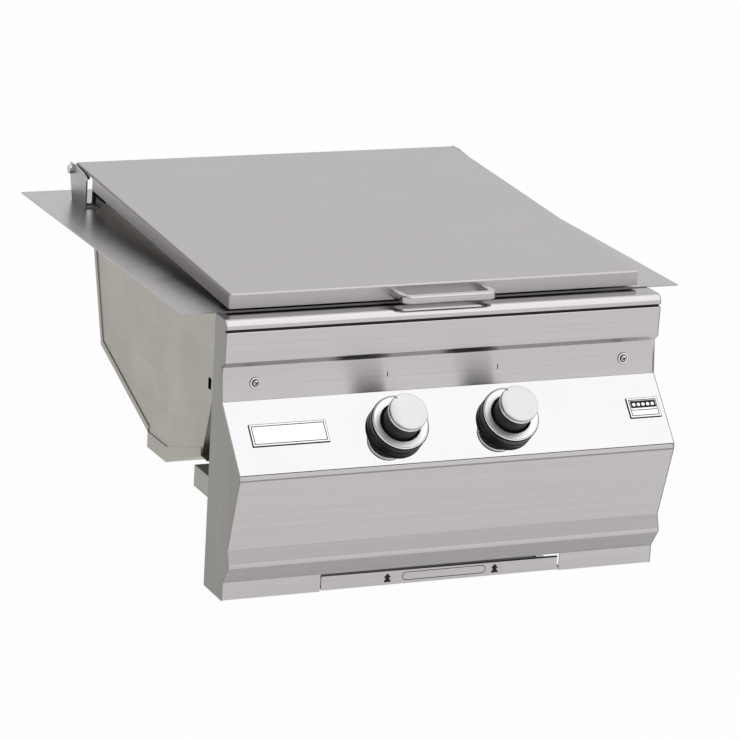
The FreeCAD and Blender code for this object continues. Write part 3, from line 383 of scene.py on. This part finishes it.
# Near-black chrome: a painted dark reflection on the bezels' walls and the crowns' step.
dark_reflection_chrome = mirror_polished("dark_reflection_chrome", grey(0.014), grey(0.020), 0.28)
label_metal = brushed("label_metal", grey(0.70), grey(0.74), 0.16, "x", 0.12)
zinc = brushed("zinc_plated", (0.50, 0.51, 0.52), (0.62, 0.62, 0.61), 0.30, "x", 0.15)
brass = brushed("turned_brass", (0.62, 0.42, 0.17), (0.72, 0.52, 0.25), 0.28, "z", 0.25)
drawn_tube = brushed("drawn_tube", (0.60, 0.60, 0.61), (0.70, 0.70, 0.71), 0.33, "y", 0.15)
grate_iron = cast("grate_enamel", (0.030, 0.030, 0.031), (0.012, 0.012, 0.012), 0.42, 0.0, 0.25, 700.0, 180.0)
burner_iron = cast("burner_casting", (0.095, 0.090, 0.085), (0.035, 0.032, 0.030), 0.62, 0.6, 0.5)
black_pipe = cast("black_pipe", (0.045, 0.045, 0.047), (0.020, 0.020, 0.021), 0.48, 0.2, 0.2)
rubber = coated("bumper_rubber", (0.020, 0.020, 0.021), (0.032, 0.032, 0.033), 0.75)
ceramic = coated("glazed_ceramic", (0.78, 0.76, 0.70), (0.82, 0.80, 0.75), 0.18)
# Black for the marks, the pointer, the badge's bars and the lines inside the plates' frames; also painted shade
# in the bezels' bores and on the screws, and a painted dark reflection on the knobs' grips and the plates'
# edges.
black_marks_and_painted_shade = coated("black_marks_and_painted_shade", (0.012, 0.012, 0.013), (0.020, 0.020, 0.022), 0.5, shine=0.2)
# Near-black painted shadow in the panel's groove and along the line under the control plate.
groove_painted_shadow = coated("groove_painted_shadow", (0.016, 0.015, 0.015), (0.030, 0.028, 0.028), 0.6)

dressed = {
    "counter_flange": "flange", "left_firebox_wall": "firebox", "right_firebox_wall": "firebox",
    "firebox_front_wall": "back", "firebox_back_panel": "back", "firebox_bottom_pan": "back",
    "front_grate_ledge": "inside", "rear_grate_ledge": "inside", "lid": "lid", "left_lid_ear": "hinge",
    "right_lid_ear": "hinge", "left_hinge_bracket": "hinge", "right_hinge_bracket": "hinge",
    "front_panel": "panel", "left_cheek": "cheek", "right_cheek": "cheek", "lower_frame": "frame",
    "instruction_tray": "tray", "lid_handle": "handle",
}
by_slot = {
    "polished_stainless": mirror_plate, "chrome": knob_chrome, "zinc_plate": zinc, "bare_plate": label_metal,
    "cast_grate": grate_iron, "cast_burner": burner_iron, "brass": brass, "rubber": rubber,
    "ceramic": ceramic, "gas_pipe": black_pipe, "aluminium_tube": drawn_tube,
}


# Painted shade on edges and insides, by where a face lies and which way it looks


# Level of the near-black painted shade.
PAINTED_SHADE = 0.02
# Level of the painted shade on the flange's front edge.
FLANGE_EDGE_SHADE = 0.2
EDGE_LIMIT = 0.5  # a face with a smaller cosine to the outward direction is an edge or an inside
FRONT_LIMIT = -0.7  # a face with a smaller cosine to the backward direction looks to the front
TRAY_LIP = -313.8  # height above which the tray's front is painted dark as shadow under the panel's lip, on the middle line
TRAY_LIP_SLOPE = 0.005


def paint_shade(material, mask, level=PAINTED_SHADE):
    """Paints shade: a darker colour on the faces that a mask picks out."""
    tree = material.node_tree
    shader = tree.nodes["Principled BSDF"]
    plain = shader.inputs["Base Color"].links[0].from_socket
    mix = put(tree, "ShaderNodeMix", {0: mask}, data_type="RGBA")
    tree.links.new(plain, mix.inputs["A"])
    mix.inputs["B"].default_value = (*grey(level), 1)
    tree.links.new(colour_out(mix), shader.inputs["Base Color"])


def turned_away(material, outward, limit):
    """The mask of a material's faces that turn away from a direction."""
    inputs = {"Outward": outward, "Limit": limit}
    return put(material.node_tree, "ShaderNodeGroup", inputs, node_tree=AWAY).outputs["Mask"]


def shade_tray_lip(material):
    """Painted shadow: the top edge of the tray's front, under the panel's lip, is near-black."""
    tree = material.node_tree
    inputs = {0: object_place(tree), 1: (TRAY_LIP_SLOPE, 0, 1)}
    level = put(tree, "ShaderNodeVectorMath", inputs, operation="DOT_PRODUCT")
    paint_shade(material, math_node(tree, "GREATER_THAN", level.outputs["Value"], TRAY_LIP * MM))


def shade_flange_edge(material):
    """Painted shade on the flange's front edge, in the gap between the front panel and the lid."""
    tree = material.node_tree
    front = turned_away(material, (0, 1, 0), FRONT_LIMIT)
    place = put(tree, "ShaderNodeSeparateXYZ", {0: object_place(tree)})
    across = math_node(tree, "ABSOLUTE", place.outputs["X"])
    behind_panel = math_node(tree, "LESS_THAN", across, PANEL_HALF * MM)
    paint_shade(material, math_node(tree, "MULTIPLY", front, behind_panel), FLANGE_EDGE_SHADE)


shade_flange_edge(steel["flange"])
# Painted shade: the polished plate's faces that don't look out of the control face, its edges among them, are
# near-black.
paint_shade(mirror_plate, turned_away(mirror_plate, (0, *CONTROL_OUT), EDGE_LIMIT))
# Painted shade: the tray's faces that don't look to the front, its floor and insides among them, are
# near-black.
paint_shade(steel["tray"], turned_away(steel["tray"], (0, -1, 0), EDGE_LIMIT))
shade_tray_lip(steel["tray"])
for part in frame["record"]["subparts"]:
    name = part["node"]
    chosen = steel[dressed[name]] if name in dressed else by_slot[part["material_slot"]]
    node = frame["nodes"][name]
    node.data.materials.clear()
    node.data.materials.append(chosen)


# Making pieces


CREASE = 32  # degrees above which an edge stays sharp


def piece(name, vertices, faces, material, body, slot, place=None):
    """A mesh piece in millimetres, put in place, smoothed but for its creases, riding on a body."""
    mesh = bpy.data.meshes.new(name)
    mesh.from_pydata([Vector(v) * MM for v in vertices], [], faces)
    if place is not None:
        mesh.transform(place)
    mesh.validate()
    tidy = bmesh.new()
    tidy.from_mesh(mesh)
    bmesh.ops.recalc_face_normals(tidy, faces=tidy.faces)
    tidy.to_mesh(mesh)
    tidy.free()
    mesh.shade_smooth()
    mesh.set_sharp_from_angle(angle=math.radians(CREASE))
    for finish in material if isinstance(material, list) else [material]:
        mesh.materials.append(finish)
    made = bpy.data.objects.new(name, mesh)
    bpy.context.scene.collection.objects.link(made)
    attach(made, body)
    return made


def settle(made):
    """Applies a piece's modifiers."""
    shown = made.evaluated_get(bpy.context.evaluated_depsgraph_get())
    mesh = bpy.data.meshes.new_from_object(shown)
    made.modifiers.clear()
    made.data = mesh
    mesh.shade_smooth()
    mesh.set_sharp_from_angle(angle=math.radians(CREASE))


def cut_away(made, vertices, faces, finish):
    """Cuts a closed shape out of a piece; the cut faces get a finish of their own."""
    mesh = bpy.data.meshes.new("cutter")
    mesh.from_pydata([Vector(v) * MM for v in vertices], [], faces)
    mesh.materials.append(finish)
    cutter = bpy.data.objects.new("cutter", mesh)
    bpy.context.scene.collection.objects.link(cutter)
    hollow = made.modifiers.new("cut", "BOOLEAN")
    hollow.operation = "DIFFERENCE"
    hollow.solver = "EXACT"
    hollow.material_mode = "TRANSFER"
    hollow.object = cutter
    bpy.context.view_layer.update()
    settle(made)
    bpy.data.objects.remove(cutter)


def soft_line(points, radii, step=0.2):
    """An open outline in a plane, with an arc at each corner that has a radius."""
    nearly_straight = 0.02
    line = [Vector(points[0])]
    for i in range(1, len(points) - 1):
        before, corner, after = Vector(points[i - 1]), Vector(points[i]), Vector(points[i + 1])
        u = (corner - before).normalized()
        w = (after - corner).normalized()
        turn = math.acos(max(-1.0, min(1.0, u.dot(w))))
        radius = radii.get(i, 0)
        if radius == 0 or turn < nearly_straight:
            line.append(corner)
            continue
        first = corner - u * (radius * math.tan(turn / 2))
        inward = (w - u * u.dot(w)).normalized()
        count = max(2, math.ceil(turn / step))
        for k in range(count + 1):
            angle = turn * k / count
            line.append(first + (inward * (1 - math.cos(angle)) + u * math.sin(angle)) * radius)
    line.append(Vector(points[-1]))
    return line


def turned(profile, steps, closed=False, ripple=None):
    """Vertices and faces of a profile of (radius, height) turned about +Z; ripple shifts a radius."""
    vertices, rings, faces = [], [], []
    for level, (radius, height) in enumerate(profile):
        count = 1 if radius == 0 else steps
        rings.append(list(range(len(vertices), len(vertices) + count)))
        for k in range(count):
            angle = 2 * math.pi * k / steps
            r = radius + (ripple(level, k) if ripple else 0)
            vertices.append((r * math.cos(angle), r * math.sin(angle), height))
    pairs = list(zip(rings, rings[1:])) + ([(rings[-1], rings[0])] if closed else [])
    for low, high in pairs:
        for k in range(steps):
            j = (k + 1) % steps
            corners = [low[k % len(low)], low[j % len(low)], high[j % len(high)], high[k % len(high)]]
            faces.append(list(dict.fromkeys(corners)))
    return vertices, faces


def finish_by_level(made, steps, levels, finishes):
    """Spreads finishes over turned shapes: a finish's number, and the levels of the profile that have it."""
    chosen = {level: number for number, some in finishes.items() for level in some}
    for polygon in made.data.polygons:
        polygon.material_index = chosen.get(polygon.index // steps % levels, 0)


def joined(shapes):
    """Several (vertices, faces, place) shapes as one set of vertices and faces, in millimetres."""
    vertices, faces = [], []
    for some, sides, place in shapes:
        start = len(vertices)
        vertices += [tuple(place @ Vector(v)) for v in some]
        faces += [[start + i for i in side] for side in sides]
    return vertices, faces


def box_shape(x_low, x_high, y_low, y_high, z_low, z_high):
    """Vertices and faces of a box."""
    corners = [(x, y, z) for z in (z_low, z_high) for y in (y_low, y_high) for x in (x_low, x_high)]
    faces = [(0, 2, 3, 1), (4, 5, 7, 6), (0, 1, 5, 4), (2, 6, 7, 3), (0, 4, 6, 2), (1, 3, 7, 5)]
    return corners, faces


def on_control(x, z=None):
    """Place on the control face in millimetres: X across, Y up the slope, Z outwards."""
    y, height = CONTROL_MIDDLE
    if z is not None:
        along = (z - height) / -CONTROL_OUT[0]
        y, height = y + along * CONTROL_OUT[1], z
    out = Vector((0, *CONTROL_OUT))
    up = Vector((0, CONTROL_OUT[1], -CONTROL_OUT[0]))
    turn = Matrix((Vector((1, 0, 0)), up, out)).transposed().to_4x4()
    return Matrix.Translation((x, y, height)) @ turn


def in_metres(place):
    """A place in millimetres, for a mesh that is in metres already."""
    return Matrix.Scale(MM, 4) @ place @ Matrix.Scale(1 / MM, 4)


AS_IT_IS = Matrix.Identity(4)


# Front panel: one bent sheet with a soft radius at each bend


STRIP_TOP = (-29.6, -57.5)
STRIP_FOOT = (-32.07, -98.89)
STRIP_DISH = 1.15  # how far the middle of the recessed strip sags backwards
PANEL_LINE = [
    (20, 0.3), (-37, 0.3), (-37, -11), (-33, -11), (-33, -14), (-37, -14), (-36, -50.5), STRIP_TOP,
    STRIP_FOOT, (-97.19, -167.51), (-97.28, -168.01), (-98.39, -174.01), (-70.1, -266), (-76.6, -285),
    (-59.8, -309), (-59.8, NOTCH_TOP), (-59.8, -331.5), (-48.8, -331.5),
]
PANEL_BENDS = {
    1: 9, 2: 0.9, 3: 0.6, 4: 0.6, 5: 0.9, 6: 1.6, 7: 1.8, 8: 1.2, 11: 4.2, 12: 3.0, 13: 6.2, 16: 1.8,
}

# Places where the sheet has a finish of its own: heights, and one Y. The groove and the line under the plate
# get painted shadow; the SHADED, VALLEY and NOSE_FOLD bands get darker steel as painted shade; the bullnose
# gets a smoother steel.

GROOVE = (-14.1, -10.9)
GROOVE_FRONT = -36.9  # the groove's faces lie behind this Y
PLATE_LINE = (-168.0, -167.5)
SHADED = [(0.0, 1.0), (-309.6, -291.5)]
BULLNOSE_LOW = -10.5
VALLEY = (-282.0, -266.0)
NOSE_FOLD = (-179.0, -171.2)
PANEL_FINISHES = ["panel", "soot", "ledge", "bullnose", "fold", "valley"]


def between(value, limits):
    """Whether a value lies inside a pair of limits."""
    return limits[0] < value < limits[1]


def panel_finish(y, z):
    """The finish of a face of the sheet, by where its middle lies."""
    # The groove and the line under the plate get painted shadow; the SHADED, VALLEY and NOSE_FOLD bands get
    # darker steel as painted shade.
    if between(z, GROOVE) and y > GROOVE_FRONT or between(z, PLATE_LINE):
        return "soot"
    if any(between(z, limits) for limits in SHADED):
        return "ledge"
    if z > BULLNOSE_LOW:
        return "bullnose"
    if between(z, VALLEY):
        return "valley"
    return "fold" if between(z, NOSE_FOLD) else "panel"


def dish(points, low, high, depth):
    """Lets the flat between two heights sag backwards a little, as thin sheet does beside its bends."""
    bend_reach, steps = 3, 10
    sagged = []
    for a, b in zip(points, points[1:]):
        sagged.append(a)
        if a[1] > high - bend_reach and b[1] < low + bend_reach:
            for k in range(1, steps):
                share = k / steps
                sagged.append(a.lerp(b, share) + Vector((4 * depth * share * (1 - share), 0)))
    return sagged + [points[-1]]


def make_front_panel():
    """The outline drawn out along X, given its finishes and its thickness, and pierced for the two knobs."""
    slack = 0.01
    line = dish(soft_line(PANEL_LINE, PANEL_BENDS), STRIP_FOOT[1], STRIP_TOP[1], STRIP_DISH)
    stations = [-PANEL_HALF, -TRAY_NOTCH, TRAY_NOTCH, PANEL_HALF]
    vertices = [(x, p[0], p[1]) for x in stations for p in line]
    count = len(line)
    faces = []
    for span in range(3):
        for i in range(count - 1):
            in_notch = span == 1 and line[i][1] < NOTCH_TOP + slack and line[i + 1][1] < NOTCH_TOP
            if not in_notch:
                a, b = span * count + i, (span + 1) * count + i
                faces.append((a, b, b + 1, a + 1))
    finishes = [groove_painted_shadow if name == "soot" else steel[name] for name in PANEL_FINISHES]
    panel = piece("front_panel_sheet", vertices, faces, finishes, "housing", "brushed_stainless")
    for polygon in panel.data.polygons:
        finish = panel_finish(polygon.center.y / MM, polygon.center.z / MM)
        polygon.material_index = PANEL_FINISHES.index(finish)
    shell = panel.modifiers.new("sheet", "SOLIDIFY")
    shell.thickness = SHEET * MM
    shell.offset = -1
    shell.use_even_offset = True
    settle(panel)
    radius, reach = 6, 12
    hole, sides = turned([(0, -reach), (radius, -reach), (radius, reach), (0, reach)], 32)
    for x in (-KNOB_X, KNOB_X):
        cut_away(panel, *joined([(hole, sides, on_control(x))]), steel["panel"])
    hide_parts("front_panel")


# Lid handle: a rounded square bar bent into a U


def bar_section(half_width, soft):
    """Outline of a square bar with round corners."""
    section = []
    for quarter in range(4):
        middle = math.radians(90 * quarter + 45)
        centre = Vector((math.cos(middle), math.sin(middle))) * (half_width - soft) * math.sqrt(2)
        for k in range(6):
            angle = math.radians(90 * quarter + 18 * k)
            section.append(centre + Vector((math.cos(angle), math.sin(angle))) * soft)
    return section


def make_handle():
    """The bar drawn out along its path, with flat ends against the lid."""
    reach, foot, front, height, bend = 57.0, -3.0, -36.0, 13.0, 8
    path = soft_line([(-reach, foot), (-reach, front), (reach, front), (reach, foot)], {1: bend, 2: bend}, 0.13)
    section = bar_section(half_width=5.0, soft=2.6)
    vertices, faces = [], []
    for i, point in enumerate(path):
        before = path[max(i - 1, 0)]
        after = path[min(i + 1, len(path) - 1)]
        run = (after - before).normalized()
        across = Vector((run[1], -run[0]))
        for s in section:
            at = point + across * s[0]
            vertices.append((at[0], at[1], height + s[1]))
    count = len(section)
    for i in range(len(path) - 1):
        for k in range(count):
            j = (k + 1) % count
            a, b = i * count, (i + 1) * count
            faces.append((a + k, a + j, b + j, b + k))
    faces.append(list(range(count)))
    faces.append(list(range(len(vertices) - count, len(vertices))))
    handle = piece("lid_handle_bar", vertices, faces, steel["handle"], "lid_assembly", "polished_stainless")
    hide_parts("lid_handle")


# Knobs and bezels; profiles give (radius, height over the control face)


KNOB_STEPS = 96
BEZEL_STEPS = 216
POINTER_TURN = 33.0
GRIP = [
    (4.4, 4.5), (21.2, 4.5), (21.9, 4.8), (22.3, 5.6), (22.4, 7.0), (22.2, 20.0), (22.0, 34.6),
    (21.6, 34.8), (4.4, 35.0),
]
RIM = 23.6
CROWN_SIDE = [
    (0, 35.0), (RIM - 0.4, 35.0), (RIM, 35.4), (RIM, 38.2), (RIM - 0.4, 38.5), (RIM - 0.7, 38.6),
    (RIM - 0.7, 38.8), (RIM - 0.1, 39.0), (RIM, 39.2), (RIM, 40.6),
]
SHOULDER, SHOULDER_ARC = 1.6, math.radians(76)  # radius, and how far round it goes
# Levels 1 to 3 are the crown's ring, painted white as a highlight; 4 to 8 its step, painted near-black as a
# dark reflection.
CROWN_LEVELS = {1: (4, 5, 6, 7, 8), 2: (1, 2, 3), 3: (9, 10)}  # levels of each finish; the rest have 0
BEZEL = [
    (12.0, 0.0), (12.0, 0.8), (24.9, 0.8), (25.0, 12.4), (25.5, 13.1), (26.3, 13.3), (33.0, 13.3),
    (33.3, 12.9), (34.6, 12.3), (35.4, 11.5), (35.5, 10.4), (35.2, 9.6), (35.2, 1.2), (35.7, 0.8), (35.7, 0.0),
]
# The bore and the floor round the knob, levels 0 to 2, are black as painted shade; levels 3, 4, 5 and 7 are
# white as a painted highlight; the rest but 14, the outer wall among them, are near-black chrome as a painted
# dark reflection.
BEZEL_LEVELS = {1: (0, 1, 2), 2: (3, 4, 5, 7), 3: (14,)}
KNURL, KNURLED_LEVELS = 0.35, (9, 10)


def crown_profile():
    """The crown's side with its ring, painted white as a highlight, and its step, painted near-black as a dark
    reflection, then a soft shoulder and a shallow dome.
    """
    profile = list(CROWN_SIDE)
    top = profile[-1][1]
    for k in range(1, 9):
        turn = SHOULDER_ARC * k / 8
        profile.append((RIM - SHOULDER * (1 - math.cos(turn)), top + SHOULDER * math.sin(turn)))
    edge, level = profile[-1]
    ball = edge / math.cos(SHOULDER_ARC)
    for k in range(1, 13):
        r = edge * (1 - k / 12)
        profile.append((r, level + math.sqrt(ball * ball - r * r) - math.sqrt(ball * ball - edge * edge)))
    return profile


def pointer_mark():
    """A short black bar over the crown's edge, its outer end cut down to the shoulder."""
    half_width, inner, outer, low, high, drop = 1.1, 21.0, 23.9, 39.0, 43.0, 1.9
    corners, sides = box_shape(-half_width, half_width, inner, outer, low, high)
    return [(a, b, high - drop if (b, c) == (outer, high) else c) for a, b, c in corners], sides


def make_knob(side, x):
    """A grip painted near-black as a dark reflection, a chromed crown and a pointer mark."""
    body = side + "_knob_assembly"
    place = in_metres(on_control(x))
    grip = turned(GRIP, KNOB_STEPS, closed=True)
    # The grip's near-black stands in for the chrome neck's dark reflection: painted reflection.
    neck = piece(side + "_knob_grip", *grip, black_marks_and_painted_shade, body, "chrome", place)
    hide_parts(side + "_knob")
    profile = crown_profile()
    finishes = [knob_chrome, dark_reflection_chrome, white_and_painted_highlight, ring_chrome]
    crown = piece(side + "_knob_crown", *turned(profile, KNOB_STEPS), finishes, body, "chrome", place)
    finish_by_level(crown, KNOB_STEPS, len(profile), CROWN_LEVELS)
    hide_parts(side + "_knob_cap")
    turn = Matrix.Rotation(math.radians(POINTER_TURN), 4, "Z")
    piece(side + "_knob_mark", *pointer_mark(), black_marks_and_painted_shade, body, "rubber", place @ turn)


def knurl(level, k):
    """Every other step of the bezel's shoulder stands out a little."""
    return KNURL if level in KNURLED_LEVELS and k % 2 else 0.0


def make_bezels():
    """The rings round both knobs, as one piece."""
    vertices, faces = turned(BEZEL, BEZEL_STEPS, closed=True, ripple=knurl)
    shapes = [(vertices, faces, on_control(x)) for x in (-KNOB_X, KNOB_X)]
    finishes = [dark_reflection_chrome, black_marks_and_painted_shade, white_and_painted_highlight, ring_chrome]
    rings = piece("bezel_rings", *joined(shapes), finishes, "housing", "chrome")
    finish_by_level(rings, BEZEL_STEPS, len(BEZEL), BEZEL_LEVELS)
    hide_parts("bezels")


# Screws on the recessed strip


STRIP_MIDDLE = -78.0  # height of the screws and of the marks over the knobs
SCREW_X = 238.0
SCREW_STEPS = 48
SCREW_TURN = 28.0
WASHER = [(0, 0), (6.9, 0), (7.1, 0.2), (7.1, 0.8), (6.6, 1.0), (5.0, 1.0), (4.9, 0.9)]
SCREW_HEAD = [(4.1, 0.9), (4.0, 1.0), (3.9, 2.2), (3.4, 2.9), (2.6, 3.3), (1.4, 3.55), (0, 3.6)]
# Levels 0 to 3 and 5 to 8, the washer's rim and the foot and side of the head, are black as painted shade;
# level 4, the washer's top, is white as a painted highlight.
SCREW_LEVELS = {1: (0, 1, 2, 3, 5, 6, 7, 8), 2: (4,)}


def on_strip(x, z):
    """Place on the recessed strip, +Z outwards."""
    run = Vector((STRIP_FOOT[0] - STRIP_TOP[0], STRIP_FOOT[1] - STRIP_TOP[1])).normalized()
    out = Vector((0, run[1], -run[0]))
    y = STRIP_TOP[0] + (z - STRIP_TOP[1]) * run[0] / run[1] + STRIP_DISH
    turn = Matrix((Vector((1, 0, 0)), out.cross(Vector((1, 0, 0))), out)).transposed().to_4x4()
    return Matrix.Translation((x, y, z)) @ turn


def make_fascia_screws():
    """Two domed screws on washers, each with a cross cut into its head."""
    profile = WASHER + SCREW_HEAD
    vertices, faces = turned(profile, SCREW_STEPS)
    places = [on_strip(x, STRIP_MIDDLE) for x in (-SCREW_X, SCREW_X)]
    shapes = [(vertices, faces, place) for place in places]
    finishes = [zinc, black_marks_and_painted_shade, white_and_painted_highlight]
    screws = piece("fascia_screw_heads", *joined(shapes), finishes, "housing", "zinc_plate")
    finish_by_level(screws, SCREW_STEPS, len(profile) - 1, SCREW_LEVELS)
    arm, half, low, high = 2.4, 0.6, 2.3, 5.0
    arms = [box_shape(-arm, arm, -half, half, low, high), box_shape(-half, half, -arm, arm, low, high)]
    # The cross cuts' faces are black: painted shade inside them.
    for place in places:
        turn = place @ Matrix.Rotation(math.radians(SCREW_TURN), 4, "Z")
        for vertices, faces in arms:
            cut_away(screws, *joined([(vertices, faces, turn)]), black_marks_and_painted_shade)
    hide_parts("fascia_screws")


# Plates on the control face, left bare inside their frames


FRAME_STEPS = [(0, 0), (0, 1.2), (0.7, 1.6), (2.4, 1.6), (2.45, 1.5), (3.45, 1.5), (3.5, 1.55)]
DARK_STEPS = (0, 1, 3, 4)  # the edge, painted black as a dark reflection, and the line inside the frame


def framed_plate(name, node, x, width, height):
    """A plate whose edge is painted black as a dark reflection, with a dark line inside its frame; FRAME_STEPS
    gives (inset, level).
    """
    vertices, faces = [], []
    for inset, level in FRAME_STEPS:
        w, h = width / 2 - inset, height / 2 - inset
        vertices += [(-w, -h, level), (w, -h, level), (w, h, level), (-w, h, level)]
    for ring in range(len(FRAME_STEPS) - 1):
        for k in range(4):
            j = (k + 1) % 4
            a, b = ring * 4, ring * 4 + 4
            faces.append((a + k, a + j, b + j, b + k))
    faces.append(list(range(len(vertices) - 4, len(vertices))))
    faces.append([3, 2, 1, 0])
    place = in_metres(on_control(x, PLATE_Z))
    plate = piece(name, vertices, faces, [label_metal, black_marks_and_painted_shade], "housing", "bare_plate", place)
    for polygon in plate.data.polygons:
        if polygon.index // 4 in DARK_STEPS:
            polygon.material_index = 1
    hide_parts(node)
    return place


def make_badge():
    """The small plate: a dark band with five plain studs, and a thin bar."""
    place = framed_plate("badge_bare", "badge_plate", 252.5, 41.5, 26.5)
    foot, bar_top, stud_side, stud_top = 1.3, 1.56, 1.66, 1.7
    half, band, bar = 16.8, (-0.4, 9.2), (-3.6, -2.6)
    shapes = [(*box_shape(-half, half, *span, foot, bar_top), AS_IT_IS) for span in (band, bar)]
    piece("badge_bare_bars", *joined(shapes), black_marks_and_painted_shade, "housing", "bare_plate", place)
    radius, pitch, middle = 2.1, 6.2, 4.2
    stud = turned([(radius, foot), (radius, stud_side), (0, stud_top)], 24)
    shapes = [(*stud, Matrix.Translation((pitch * k, middle, 0))) for k in range(-2, 3)]
    piece("badge_bare_studs", *joined(shapes), white_and_painted_highlight, "housing", "bare_plate", place)


# Marks on the strip and on the tray


MARK_PROUD = 0.12  # how far a mark stands out of its sheet


def make_strip_marks():
    """A short upright line over each knob."""
    half_width, half_height, root = 0.55, 3.0, -0.2
    mark = box_shape(-half_width, half_width, -half_height, half_height, root, MARK_PROUD)
    shapes = [(*mark, on_strip(x, STRIP_MIDDLE)) for x in (-KNOB_X, KNOB_X)]
    piece("strip_marks", *joined(shapes), black_marks_and_painted_shade, "housing", "rubber")


def flat_shape(outline, back, front):
    """An outline in X and Z, thickened along Y."""
    count = len(outline)
    vertices = [(x, back, z) for x, z in outline] + [(x, front, z) for x, z in outline]
    faces = [list(range(count)), list(range(2 * count - 1, count - 1, -1))]
    faces += [(k, count + k, count + (k + 1) % count, (k + 1) % count) for k in range(count)]
    return vertices, faces


def round_ended(left, right, level, radius, r):
    """A long outline with half circles for ends, drawn at r about the ends' centres."""
    turns = [math.radians(-90 + 15 * k) for k in range(13)]
    right_end = [(right - radius + r * math.cos(a), level + r * math.sin(a)) for a in turns]
    left_end = [(left + radius - r * math.cos(a), level - r * math.sin(a)) for a in turns]
    return right_end + left_end


def make_tray_marks():
    """Two plain arrows and an empty outline between them."""
    root = 0.3
    back, front = TRAY_FACE + root, TRAY_FACE - MARK_PROUD
    half = [(4.8, 0.4), (2.6, 0.4), (2.6, -2.6), (4.2, -2.6), (4.2, -5.4)]
    arrow = [(0, 5.6)] + half + [(-a, b) for a, b in reversed(half)]
    arrow_level = -321.6
    shapes = []
    for x in (-69.0, 71.0):
        outline = [(x + a, arrow_level + b) for a, b in arrow]
        shapes.append((*flat_shape(outline, back, front), AS_IT_IS))
    left, right, level, radius, line = -50.0, 59.0, -321.3, 5.2, 0.8
    rings = [round_ended(left, right, level, radius, r) for r in (radius, radius - line)]
    count = len(rings[0])
    vertices = [(x, y, z) for y in (back, front) for ring in rings for x, z in ring]
    faces = []
    for k in range(count):
        j = (k + 1) % count
        for a, b in ((0, count), (count, 3 * count), (3 * count, 2 * count), (2 * count, 0)):
            faces.append((a + k, a + j, b + j, b + k))
    shapes.append((vertices, faces, AS_IT_IS))
    piece("tray_marks", *joined(shapes), black_marks_and_painted_shade, "tray", "rubber")


make_front_panel()
make_handle()
make_knob("left", -KNOB_X)
make_knob("right", KNOB_X)
make_bezels()
make_fascia_screws()
framed_plate("name_plate_bare", "nameplate", -207.0, 96.0, 28.5)
make_badge()
make_strip_marks()
make_tray_marks()


# Studio


DARK_SIDE = (0.30, (0.30, 0.30, 0.305, 1))  # place on the ramp from left to right, and colour
BRIGHT_SIDE = (0.58, (0.98, 0.98, 1.0, 1))
FLOOR_GAP = 0.0005  # metres
MIRRORED_FLOOR = 0.72  # how white the floor looks in the metal
SEEN_FLOOR = 0.965  # how white it looks to the camera; the rest keeps the shadow


def make_world():
    """Even light, a studio that is darker on the left in reflections, and white behind the object."""
    world = bpy.data.worlds.new("studio")
    bpy.context.scene.world = world
    world.use_nodes = True
    tree = world.node_tree
    plain = tree.nodes["Background"]
    plain.inputs["Color"].default_value = (0.96, 0.98, 1.0, 1)
    plain.inputs["Strength"].default_value = 0.62
    direction = put(tree, "ShaderNodeTexCoord").outputs["Generated"]
    split = put(tree, "ShaderNodeSeparateXYZ", {0: direction})
    ramp = put(tree, "ShaderNodeValToRGB", {0: spread(tree, split.outputs["X"], 0.0, 1.0, -1.0, 1.0)})
    for element, (position, colour) in zip(ramp.color_ramp.elements, (DARK_SIDE, BRIGHT_SIDE)):
        element.position = position
        element.color = colour
    studio = put(tree, "ShaderNodeBackground", {"Color": ramp.outputs["Color"], "Strength": 0.96})
    white = put(tree, "ShaderNodeBackground", {"Color": (1, 1, 1, 1), "Strength": 1.0})
    path = put(tree, "ShaderNodeLightPath").outputs
    inputs = {0: path["Is Glossy Ray"], 1: plain.outputs[0], 2: studio.outputs[0]}
    glossy = put(tree, "ShaderNodeMixShader", inputs)
    inputs = {0: path["Is Camera Ray"], 1: glossy.outputs[0], 2: white.outputs[0]}
    seen = put(tree, "ShaderNodeMixShader", inputs)
    tree.links.new(seen.outputs[0], tree.nodes["World Output"].inputs["Surface"])


def make_floor():
    """A plain pale floor just below the object; lengths in metres."""
    level = cad_box[0][2] - FLOOR_GAP
    reach = 12.0
    mesh = bpy.data.meshes.new("floor")
    corners = [(-reach, -reach, level), (reach, -reach, level), (reach, reach, level), (-reach, reach, level)]
    mesh.from_pydata(corners, [], [(0, 1, 2, 3)])
    floor = bpy.data.objects.new("floor", mesh)
    bpy.context.scene.collection.objects.link(floor)
    material, tree, shader = finish_tree("pale_floor")
    shader.inputs["Base Color"].default_value = (*grey(0.90), 1)
    shader.inputs["Roughness"].default_value = 0.9
    shader.inputs["Specular IOR Level"].default_value = 0.0
    path = put(tree, "ShaderNodeLightPath").outputs
    mirrored = math_node(tree, "MULTIPLY", path["Is Glossy Ray"], MIRRORED_FLOOR)
    seen = math_node(tree, "MULTIPLY", path["Is Camera Ray"], SEEN_FLOOR)
    share = math_node(tree, "MAXIMUM", mirrored, seen)
    glow = put(tree, "ShaderNodeEmission", {"Color": (1, 1, 1, 1), "Strength": 1.0})
    mix = put(tree, "ShaderNodeMixShader", {0: share, 1: shader.outputs[0], 2: glow.outputs[0]})
    tree.links.new(mix.outputs[0], tree.nodes["Material Output"].inputs["Surface"])
    mesh.materials.append(material)


place_camera()
make_world()
make_floor()
softbox("key_softbox", (1.5, -1.6, 3.0), (0, 0.1, -0.1), 6.2, 5.8, 62)
softbox("fill_softbox", (-2.6, -2.6, 1.8), (0, 0, -0.1), 2.4, 2.2, 16)
